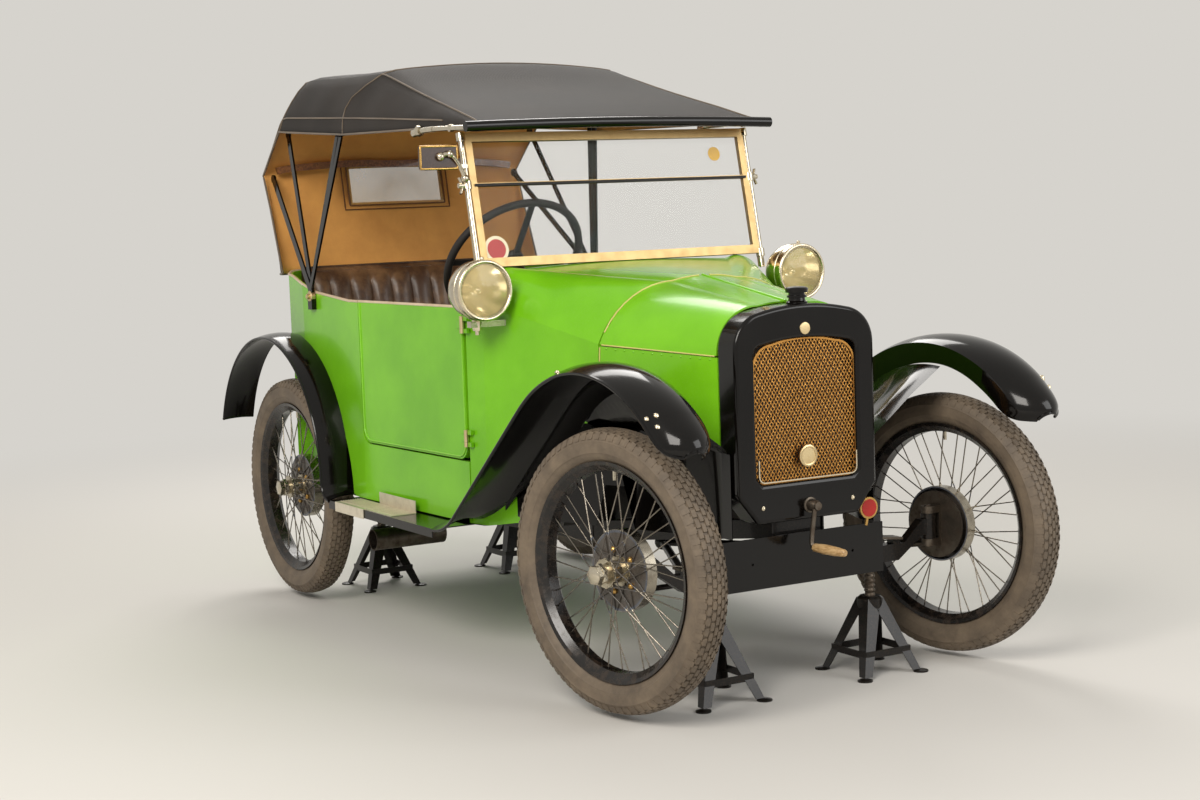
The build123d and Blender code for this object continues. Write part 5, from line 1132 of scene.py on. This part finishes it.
slopeRows, skirtFoot = 17, 18  # rows up to the arch's first; the section's point at the foot of its skirt
wireProfile = roundProfile(wingLook["wire"] / 1000, 8)
wingRows = {}
wingShells, wired, wingBolts = [], [], []
for side in (-1, 1):
    rows, shell = wingShell(side)
    rearRows, rearShell = rearWingShell(side)
    wingRows[side] = rows
    wingShells += [shell, rearShell]
    for edge in ([rows[:, :2].mean(1), rows[-1, 2:skirtFoot]],
                 [rearRows[0, skirtFoot - 1:0:-1], rearRows[:, :2].mean(1)]):
        wired.append(carryAlong(placed(np.concatenate(edge)), wireProfile, (0.02, 1.0, 0.05)))
    arch = rows[slopeRows:]
    for row, column in wingLook["bolts"]:
        spot = arch[row, column]
        out = unit(spot - np.array([wingLook["frontX"], spot[1], wingLook["frontZ"]]))
        flat = unit(np.cross(out, (0.0, 1.0, 0.0)))
        wingBolts.append(scattered(headShell(0.0062, 0.003, 12, 0.0035), placed(spot)[None], flat[None],
                                   np.cross(out, flat)[None], out[None]))
    # a flat plate fills in from the slope's skirt to the frame
    inner = rows[:slopeRows, skirtFoot] * np.array([1, 0, 1])
    plate = np.stack([placed(inner + np.array([0, y, 12.0])) for y in (side * 322.0, side * 435.5)], 1)
    under = plate - np.array([0, 0, wingLook["sheet"] / 1000])
    wingShells.append(gridShell(np.concatenate([plate, under[:, ::-1]], 1), closeColumns=True))
showPiece("wings_enamelled", joinShells(wingShells + wired), "wingBlack", "car", ["wings"],
          sharp=42.0)
showPiece("wing_bolts", joinShells(wingBolts), "paleNickel", "car", sharp=40.0)
print("car: wings done")


def softened(name, source, width, finish, sharp=30.0):
    # a copy of a constructed piece with its flats made whole and its hard corners eased as worn enamel is
    mesh = nodes[source].data.copy()
    work = bmesh.new()
    work.from_mesh(mesh)
    bmesh.ops.transform(work, matrix=nodes[source].matrix_world, verts=work.verts)
    bmesh.ops.remove_doubles(work, verts=work.verts, dist=1e-5)
    bmesh.ops.dissolve_limit(work, angle_limit=math.radians(0.6), verts=work.verts, edges=work.edges)
    work.to_mesh(mesh)
    work.free()
    piece = bpy.data.objects.new(name, mesh)
    bpy.context.scene.collection.objects.link(piece)
    mesh.materials.clear()
    mesh.materials.append(finishes[finish])
    ease = piece.modifiers.new("eased", "BEVEL")
    ease.width = width / 1000
    ease.segments = 3
    ease.limit_method = "ANGLE"
    ease.angle_limit = math.radians(sharp)
    mesh.shade_smooth()
    mesh.set_sharp_from_angle(angle=math.radians(sharp))
    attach(piece, "car")
    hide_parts(source)


softened("radiator_shell_enamelled", "radiator_shell", 9.0, "wingBlack")
print("car: shell softened")

# black sheets between the front wings and the bonnet's sides, shaped as splash aprons: their black paints the
# shade under the arch and over the green bonnet sides

shadeSheetLook = {
    "inner": 434.0, "gap": 6.0, "turns": (-34.0, 7.0), "radius": 432.0, "foot": 374.0, "noseX": 955.0,
    "noseHalf": 206.0, "spread": 0.38, "steepX": (716.0, 860.0), "sheetX": (720.0, 330.0), "tyreX": 605.0,
    "tyreFoot": 480.0,
}
shadeSheets = []
for side in (-1, 1):
    turn = np.radians(np.linspace(*shadeSheetLook["turns"], 19))
    x = wingLook["frontX"] + shadeSheetLook["radius"] * np.sin(turn)
    z = wingLook["frontZ"] + shadeSheetLook["radius"] * np.cos(turn)
    # the bonnet's side spreads by a share of the way back from the radiator
    back = np.clip(shadeSheetLook["noseX"] - x, 0.0, None)
    wall = shadeSheetLook["noseHalf"] + back * shadeSheetLook["spread"] + shadeSheetLook["gap"]
    # the slope is steep ahead and flattens behind, where the tyre comes round at full lock
    deep = np.interp(x, shadeSheetLook["steepX"], [0.25, 1.0])
    levels = [(shadeSheetLook["inner"], z + 3.0)]
    levels += [(wall + out, z - down * deep) for out, down in ((130, 58), (60, 112), (14, 146), (0, 162))]
    levels.append((wall, np.full(len(x), shadeSheetLook["foot"])))
    drop = np.stack([np.stack([x, np.broadcast_to(y, x.shape), height], 1) for y, height in levels], 1)
    loop = np.concatenate([drop, drop[:, ::-1] + np.array([0.0, -1.8, -1.4])], 1)
    shadeSheets.append(ringShell(loop * np.array([1.0, side, 1.0])))
    # behind the arch the black side sheet goes on along the bonnet and scuttle under the wing's slope,
    # painting the shade there over the green
    x = np.linspace(*shadeSheetLook["sheetX"], 14)
    skirt = wingRows[side][:slopeRows, skirtFoot]
    head = np.interp(x, skirt[:, 0], skirt[:, 2]) + 13.0
    flank = np.interp(x, [150.0, 600.0, 955.0], [470.0, 338.0, 203.0]) + shadeSheetLook["gap"]
    # further ahead its foot stays above the tyre at full lock
    foot = np.where(x > shadeSheetLook["tyreX"], shadeSheetLook["tyreFoot"], shadeSheetLook["foot"])
    corners = ((0.0, head), (0.0, foot), (2.0, foot), (2.0, head))
    shadeSheets.append(ringShell(np.stack([np.stack([x, side * (flank + thick), height], 1)
                                      for thick, height in corners], 1)))
# the black of these sheets is painted shade under the front wings
showPiece("front_wing_shade_sheets", joinShells(shadeSheets), "wingBlack", "car", sharp=40.0)
print("car: aprons done")

# body trim: cream piping along the rail, raised bead round each door in a lighter green that paints its
# highlight, brass hinges, bonnet lines

bodyLook = {
    "doorFront": 150.0, "doorRear": -476.0, "doorLow": 505.0, "doorTop": 914.0, "corner": 42.0,
    "hinges": (569.0, 873.0), "pipe": 4.4, "bead": 3.2,
}
railLine = np.array([(145, 918), (-476, 918), (-540, 918), (-670, 928), (-800, 938), (-910, 960),
                     (-1020, 982), (-1070, 988), (-1120, 994), (-1200, 996)], float)


def bodyHalf(x):
    # half width of the body's plan from the front of the doors to the tail
    return np.interp(x, [-1060.0, -900.0, -476.0, 150.0], [470.0, 492.0, 497.0, 470.0])


def roundedTrough(first, last, low, high, bend, steps):
    # down one side, round a quarter circle, along the foot, round another and up the other side
    arc = np.linspace(0, np.pi / 2, steps)
    near = np.stack([first + bend - bend * np.cos(arc), low + bend - bend * np.sin(arc)], 1)
    far = np.stack([last - bend + bend * np.sin(arc), low + bend - bend * np.cos(arc)], 1)
    return np.concatenate([[[first, high]], near, far, [[last, high]]])


tailPlan = np.concatenate([np.stack([railLine[2:8, 0], bodyHalf(railLine[2:8, 0])], 1),
                           arcThrough((-1060, 470), (-1168, 390), (-1200, 250), 12)[1:],
                           [[-1200.0, y] for y in (125.0, 0.0)]])
tailPlan = tailPlan[np.argsort(-tailPlan[:, 0], kind="stable")]
tailHeight = np.interp(tailPlan[:, 0], railLine[::-1, 0], railLine[::-1, 1])
rightRail = np.stack([tailPlan[:, 0] + 3.0, -tailPlan[:, 1] + 3.0, tailHeight], 1)
wholeRail = np.concatenate([rightRail, rightRail[-2::-1] * np.array([1, -1, 1])])
pipeProfile = roundProfile(bodyLook["pipe"] / 1000)
railPiping = [carryAlong(placed(wholeRail), pipeProfile, (0.0, 0.0, 1.0))]
for side in (-1, 1):
    start, end = placed([[bodyLook["doorRear"] + 1, side * 494, 919], [-538, side * 493.5, 919]])
    railPiping.append(roundBar(start, end, bodyLook["pipe"] / 1000))
showPiece("rail_piping", joinShells(railPiping), "creamPiping", "car", sharp=60.0)
for name, side in (("right", -1), ("left", 1)):
    body = "door_%s_body" % name
    x = np.linspace(bodyLook["doorFront"] - 7, bodyLook["doorRear"] + 7, 12)
    top = np.stack([x, side * (bodyHalf(x) - 3.0), np.full(12, 919.5)], 1)
    showPiece("door_piping_" + name, carryAlong(placed(top), pipeProfile, (0.0, 0.0, 1.0)),
              "creamPiping", body, sharp=60.0)
    inside = roundedTrough(bodyLook["doorRear"] + 12.0, bodyLook["doorFront"] - 12.0,
                           bodyLook["doorLow"] + 12.0, bodyLook["doorTop"], bodyLook["corner"] - 4.0, 8)
    bead = np.stack([inside[:, 0], side * (bodyHalf(inside[:, 0]) + 0.6), inside[:, 1]], 1)
    # the bead's lighter green paints its highlight
    showPiece("door_bead_" + name,
              carryAlong(placed(bead), roundProfile(bodyLook["bead"] / 1000), (0.0, 1.0, 0.02)),
              "beadGreenPaintedHighlight", body, sharp=60.0)
    knuckles, ends = [], []
    for height in bodyLook["hinges"]:
        pin = np.array([bodyLook["doorFront"], side * 475.0, height])
        knuckles.append(turnedDisc(-0.010, 0.010, 0.0067, placed(pin), (0, 0, 1), 18))
        for way in (-1, 1):
            ends.append(turnedDisc(-0.0062, 0.0062, 0.0068, placed(pin + np.array([0, 0, way * 16.6])),
                                   (0, 0, 1), 18))
    showPiece("hinge_knuckles_" + name, joinShells(knuckles), "paleBrass", body)
    showPiece("hinge_ends_" + name, joinShells(ends), "paleBrass", "car")

# half widths and heights where the bonnet meets the scuttle
bonnetRear = {
    "x": 601.0, "low": (338.0, 480.0), "seam": (318.5, 831.0), "mid": (246.5, 925.5), "top": (98.0, 978.5),
}
lowPart = np.array([bonnetRear["low"], bonnetRear["seam"]]) + np.array([[0.0, 4.0], [0.0, -8.0]])
arch = np.concatenate([arcThrough(bonnetRear["seam"], bonnetRear["mid"], bonnetRear["top"], 10),
                       arcThrough(bonnetRear["top"], (0.0, 988.5), (-98.0, 978.5), 13)[1:7]])
fixedLines, seamPins = [], []
for name, side in (("right", -1), ("left", 1)):
    line = placed(np.stack([np.full(2, bonnetRear["x"]), side * lowPart[:, 0], lowPart[:, 1]], 1))
    fixedLines.append(roundBar(line[0], line[1], 0.0020, 8))
    along = np.linspace(0.02, 0.98, 25)
    seam = np.stack([600 + 355 * along, side * (318.5 - 115.5 * along), 829.5 - 20 * along], 1)
    fixedLines.append(carryAlong(placed(seam), roundProfile(0.0019, 8), (0.0, 0.0, 1.0)))
    out = unit([0.31, side * 0.95, 0.05])
    flat = unit(np.cross(out, (0, 0, 1.0)))
    seamPins.append(scattered(headShell(0.0026, 0.0010, 8, 0.0012),
                              placed(seam[1::2] - np.array([0, 0, 9.0])),
                              flat[None], np.cross(out, flat)[None], out[None]))
    topLine = np.stack([np.full(len(arch), bonnetRear["x"] + 1.5), side * arch[:, 0], arch[:, 1] + 0.4], 1)
    showPiece("bonnet_edge_" + name,
              carryAlong(placed(topLine[1:-1]), roundProfile(0.0022, 8), (1.0, 0.0, 0.02)),
              "creamLine", "bonnet_%s_body" % name, sharp=60.0)
showPiece("bonnet_lines", joinShells(fixedLines), "creamLine", "car", sharp=60.0)
showPiece("bonnet_rivets", joinShells(seamPins), "bodyGreen", "car", sharp=50.0)
print("car: body trim done")

# hood irons: flat bars fanned out from one pivot a side, with brass washers

ironLook = {
    "pivot": (-806.0, 500.0, 936.0), "width": 20.0, "thick": 6.0, "tieHalf": 430.0, "tie": 10.0,
    "tops": ((-694, 434, 1434), (-664, 434, 1436), (-1096, 434, 1426), (-1228, 438, 1290)),
    "washer": ((-10, 0), (-10, 17), (2, 17), (5, 14), (5, 8), (12, 8), (14, 5), (14, 0)),
}
ironProfile = boxProfile(ironLook["thick"] / 1000, ironLook["width"] / 1000)
irons, washers = [], []
for side in (-1, 1):
    start = np.array(ironLook["pivot"]) * np.array([1, side, 1])
    for n, top in enumerate(ironLook["tops"]):
        end = np.array(top, float) * np.array([1, side, 1])
        begin = start + np.array([(n - 1.5) * 7.0, side * (n % 2) * 5.0, 0.0])
        irons.append(carryAlong(placed(np.linspace(begin, end, 3)), ironProfile, (1.0, 0.0, 0.1)))
        irons.append(turnedDisc(-0.004, 0.004, 0.013, placed(end), (0, 1, 0), 16))
    tie = placed([(-681.0, 0.0, 1438.0), (-681.0, side * ironLook["tieHalf"], 1438.0)])
    irons.append(roundBar(tie[0], tie[1], ironLook["tie"] / 1000))
    hub = start + np.array([0, side * 6.0, -10.0])
    washers.append(turnedPiece(np.array(ironLook["washer"]) * np.array([side, 1]), hub, (0, 1, 0), 24))
    irons.append(boxShell(hub + (-15, -12 if side > 0 else -3, -40), hub + (15, 3 if side > 0 else 12, 8)))
showPiece("hood_irons_forged", joinShells(irons), "wingBlack", "car", ["hood_irons"],
          sharp=40.0)
showPiece("iron_pivots", joinShells(washers), "paleBrass", "car", sharp=40.0)
print("car: irons done")

# radiator: rivets and a bright strip round the mesh foot; starting handle with an ash grip

stripLook = {"x": 1033.0, "half": 145.0, "low": 505.0, "high": 560.0, "bend": 16.0}
noseLook = {
    "boss": ((0, 0), (0, 19), (4, 19), (6, 15), (26, 14), (30, 11), (36, 10), (37, 0)),
    "grip": ((-4, 0), (-4, 8), (0, 10), (30, 12.2), (62, 11.5), (88, 9), (92, 7), (92, 0)),
    "cap": ((0, 0), (0, 25), (6, 26), (9, 21), (16, 20), (17, 24), (22, 24), (23, 20), (28, 20), (29, 27),
            (38, 28), (41, 25), (43, 17), (44, 0)),
}
rivets = scattered(headShell(0.0055, 0.002, 12, 0.003), placed([[1035.5, -137, 445], [1035.5, 130, 444]]),
                   *np.roll(np.eye(3), -1, 0)[:, None])
showPiece("shell_rivets", rivets, "paleNickel", "car")
footRun = roundedTrough(-stripLook["half"], stripLook["half"], stripLook["low"], stripLook["high"],
                        stripLook["bend"], 6)
strip = carryAlong(placed(np.stack([np.full(len(footRun), stripLook["x"]), footRun[:, 0], footRun[:, 1]], 1)),
                   boxProfile(0.003, 0.005), (1.0, 0.0, 0.0))
showPiece("mesh_strip", strip, "paleNickel", "car", sharp=40.0)
boss = turnedPiece(noseLook["boss"], [1035, 0, 440], (1, 0, 0), 28)
crankPath = placed([[1061, -4, 444], [1060, -6, 420], [1058, -11, 380], [1058, -14, 352], [1063, -15, 343],
                    [1080, -11, 341]])
crank = carryAlong(crankPath, roundProfile(0.0062), (0.0, 1.0, 0.1))
showPiece("starting_handle_forged", joinShells([boss, crank]), "steel", "car",
          ["starting_handle"])
grip = turnedPiece(noseLook["grip"], [1070, -13, 341], (0.96, 0.26, -0.06), 20)
showPiece("handle_grip", grip, "paleAsh", "car", sharp=50.0)
for name, radius, lift, finish in (("licence_disc_rim", 0.027, 0.006, "brass"),
                                   ("licence_disc", 0.022, 0.0072, "redEnamel")):
    disc = turnedDisc(0.0, lift, radius, placed([1006, 198, 408]), (1, 0, 0), 36)
    showPiece(name, disc, finish, "car")
stalk = roundBar(placed([1006, 198, 394]), placed([1003, 194, 364]), 0.0045)
showPiece("licence_disc_stalk", stalk, "brass", "car")
# the filler cap is turned; two plain brass discs stand on the head and on the mesh
showPiece("filler_cap", turnedPiece(noseLook["cap"], [1000, 2, 924], (0, 0, 1), 40), "wingBlack", "car",
          ["radiator_cap"], sharp=30.0)
discs = [turnedPiece(profile, spot, (1, 0, 0), steps) for profile, spot, steps in (
    ([(0, 0), (0, 15), (2.2, 14.4), (3.4, 0)], (1035, -2, 868), 36),
    ([(-2, 20), (-2, 26), (2, 26.5), (3.2, 23), (2, 20), (-2, 20)], (1037, -2, 560), 44),
    ([(-1, 0), (-1, 20.5), (1.2, 20.5), (1.8, 0)], (1037, -2, 560), 40))]
showPiece("plain_discs", joinShells(discs), "paleBrass", "car", sharp=40.0)
print("car: radiator trim done")

# step plates: fine ribs along the treads

ribLook = {
    "count": 9, "inner": 508.0, "pitch": 7.6, "half": 1.3, "run": (-498.0, -132.0), "z": (337.6, 339.6),
}
ribs = []
for side in (-1, 1):
    for n in range(ribLook["count"]):
        y = side * (ribLook["inner"] + n * ribLook["pitch"])
        low, high = zip(ribLook["run"], (y - ribLook["half"], y + ribLook["half"]), ribLook["z"])
        ribs.append(boxShell(low, high))
showPiece("step_ribs", joinShells(ribs), "aluminium", "car")
print("car: step ribs done")

# axle stands: pressed legs with turned flanges, cross braces low down, toothed posts and cradles

standLook = {
    "y": 240.0, "spread": 88.0, "headHalf": 24.0, "legTop": 188.0, "legFoot": 7.0, "wideTop": 40.0,
    "wideFoot": 24.0, "sheet": 3.0, "braceHalf": 70.0, "braceZ": 58.0, "collarZ": 147.0, "postZ": 193.0,
    "frontTop": 255.0, "rearTop": 303.0, "tooth": 3.0, "toothRadius": (14.0, 11.6),
    "pad": ((0, 0), (0, 19), (4, 19), (6.5, 11), (6.5, 0)),
    "collar": ((0, 0), (0, 30), (6, 33), (40, 33), (46, 26), (46, 0)),
}
corners = ((-1, -1), (1, -1), (1, 1), (-1, 1))


def pressedLeg(middle, a, b):
    # an angle section that widens from foot to head, its two flanges turned in towards the post
    look = standLook
    foot = middle + (a * look["spread"], b * look["spread"], look["legFoot"])
    head = middle + (a * look["headHalf"], b * look["headHalf"], look["legTop"])
    shares = np.linspace(0, 1, 7)[:, None]
    spine = foot + (head - foot) * shares
    wide = look["wideFoot"] + (look["wideTop"] - look["wideFoot"]) * shares
    inX, inY = np.array([-a, 0, 0]), np.array([0, -b, 0])
    edgeX, edgeY = spine + inX * wide, spine + inY * wide
    thick = look["sheet"]
    return ringShell(np.stack([edgeX, spine, edgeY, edgeY + inX * thick, spine + (inX + inY) * thick,
                               edgeX + inY * thick], 1))


stands, teeth = [], []
for x, top in ((layout["frontX"], standLook["frontTop"]), (layout["rearX"], standLook["rearTop"])):
    for y in (-standLook["y"], standLook["y"]):
        middle = np.array([x, y, -place["up"]])
        for a, b in ((-1, -1), (-1, 1), (1, -1), (1, 1)):
            stands.append(pressedLeg(middle, a, b))
            stands.append(turnedPiece(standLook["pad"],
                                      middle + (a * standLook["spread"], b * standLook["spread"], 0.0),
                                      (0, 0, 1), 20))
        half = standLook["braceHalf"]
        braces = placed([middle + (a * half, b * half, standLook["braceZ"]) for a, b in corners])
        for first, last in zip(braces, np.roll(braces, -1, 0)):
            stands.append(carryAlong([first, last], boxProfile(0.003, 0.018), (0.0, 0.0, 1.0)))
        stands.append(turnedPiece(standLook["collar"], middle + (0, 0, standLook["collarZ"]), (0, 0, 1), 28))
        height = np.arange(standLook["postZ"], top + 7.0, standLook["tooth"])
        high, low = standLook["toothRadius"]
        radius = np.where(np.arange(len(height)) % 4 < 2, high, low)
        teeth.append(turnedPiece(np.concatenate([[[standLook["postZ"], 0.0]], np.stack([height, radius], 1),
                                                 [[top + 7.0, 12.0], [top + 7.0, 0.0]]]),
                                 middle, (0, 0, 1), 20))
        stands.append(boxShell(middle + (-28, -22, top + 9.0), middle + (28, 22, top + 18.6)))
showPiece("axle_stand_pressings", joinShells(stands), "frameBlack", "car", ["axle_stands"],
          sharp=40.0)
showPiece("axle_stand_posts", joinShells(teeth), "steel", "car", sharp=40.0)
print("car: stands done")

# light, floor and camera

stageLook = {
    "floor": "#D3D0CA", "backdrop": "#D6D3CD", "key": 330.0, "fill": 150.0, "rim": 170.0, "world": 0.42,
}


def seenOrMirrored(tree):
    # one for rays that the picture, a mirror or a pane sends out, nought for the light that falls on things
    path = addNode(tree, "ShaderNodeLightPath")
    total = addNode(tree, "ShaderNodeMath", {"operation": "ADD", "use_clamp": True},
                    links={0: path.outputs["Is Camera Ray"], 1: path.outputs["Is Glossy Ray"]})
    total = addNode(tree, "ShaderNodeMath", {"operation": "ADD", "use_clamp": True},
                    links={0: total.outputs[0], 1: path.outputs["Is Transmission Ray"]})
    return total.outputs[0]


floorMesh = fillMesh("floor", gridShell(np.array([[[-30.0, -30.0, 0.0], [-30.0, 30.0, 0.0]],
                                                 [[30.0, -30.0, 0.0], [30.0, 30.0, 0.0]]])))
floor = bpy.data.objects.new("floor", floorMesh)
bpy.context.scene.collection.objects.link(floor)
floorFinish, tree = newFinish("paintedFloor")
flatPaint = addNode(tree, "ShaderNodeBsdfPrincipled",
                    values={"Base Color": hexLinear(stageLook["floor"]), "Roughness": 0.75})
# far out the floor takes the backdrop's shade for the picture, mirrors and panes, so no horizon shows
reach = addNode(tree, "ShaderNodeVectorMath", {"operation": "LENGTH"},
                links={0: addNode(tree, "ShaderNodeTexCoord").outputs["Object"]})
faded = addNode(tree, "ShaderNodeMapRange", {"interpolation_type": "SMOOTHSTEP"},
                {"From Min": 2.3, "From Max": 5.8}, {"Value": reach.outputs["Value"]})
seen = addNode(tree, "ShaderNodeMath", {"operation": "MULTIPLY"},
               links={0: faded.outputs["Result"], 1: seenOrMirrored(tree)})
glow = addNode(tree, "ShaderNodeEmission", values={"Color": hexLinear(stageLook["backdrop"])})
blended = addNode(tree, "ShaderNodeMixShader", links={0: seen.outputs[0], 1: flatPaint.outputs[0],
                                                      2: glow.outputs[0]})
floorMesh.materials.append(closeFinish(floorFinish, tree, blended))

world = bpy.data.worlds.new("softRoom")
world.use_nodes = True
world.node_tree.nodes.clear()
room = addNode(world.node_tree, "ShaderNodeBackground",
               values={"Color": hexLinear("#F6F5F3"), "Strength": stageLook["world"]})
backdrop = addNode(world.node_tree, "ShaderNodeBackground",
                   values={"Color": hexLinear(stageLook["backdrop"])})
chosen = addNode(world.node_tree, "ShaderNodeMixShader",
                 links={0: seenOrMirrored(world.node_tree), 1: room.outputs[0], 2: backdrop.outputs[0]})
addNode(world.node_tree, "ShaderNodeOutputWorld", links={"Surface": chosen.outputs[0]})
bpy.context.scene.world = world


def softLamp(name, spot, aim, power, size, shade):
    # a square lamp at the spot, turned to face the aim
    lamp = bpy.data.lights.new(name, "AREA")
    lamp.energy, lamp.size, lamp.color = power, size, hexLinear(shade)[:3]
    holder = bpy.data.objects.new(name, lamp)
    holder.location = spot
    holder.rotation_mode = "QUATERNION"
    run = np.array(aim, float) - np.array(spot, float)
    back = -run / np.linalg.norm(run)
    side = np.cross([0.0, 0.0, 1.0], back)
    side /= np.linalg.norm(side)
    over = np.cross(back, side)
    direction = Matrix(np.stack([side, over, back], 1).tolist())
    holder.rotation_quaternion = direction.to_quaternion()
    bpy.context.scene.collection.objects.link(holder)


softLamp("keyLamp", (3.5, -4.5, 4.2), (0.2, 0.0, 0.7), stageLook["key"], 3.0, "#FFFAF3")
softLamp("fillLamp", (5.5, 3.0, 3.0), (0.4, 0.0, 0.6), stageLook["fill"], 3.5, "#FFFFFF")
softLamp("rimLamp", (-4.0, 1.5, 4.5), (-0.4, 0.0, 0.8), stageLook["rim"], 3.0, "#FFFCF8")

cameraData = {
    "place": (5.0530, -2.9105, 1.2216), "lens": 61.41,
    "forward": (-0.85816, 0.50362, -0.09962), "right": (0.50883, 0.86016, -0.03480),
    "up": (-0.06816, 0.08055, 0.99442),
}
camera = bpy.data.objects.new("camera", bpy.data.cameras.new("camera"))
camera.data.lens, camera.data.sensor_width = cameraData["lens"], 36.0
frameAxes = np.stack([cameraData["right"], cameraData["up"], -np.array(cameraData["forward"])], 1)
turned = np.eye(4)
turned[:3, :3] = frameAxes
turned[:3, 3] = cameraData["place"]
camera.matrix_world = Matrix(turned.tolist())
bpy.context.scene.collection.objects.link(camera)
bpy.context.scene.camera = camera
bpy.context.scene.view_settings.view_transform = "Standard"
print("car: stage set")
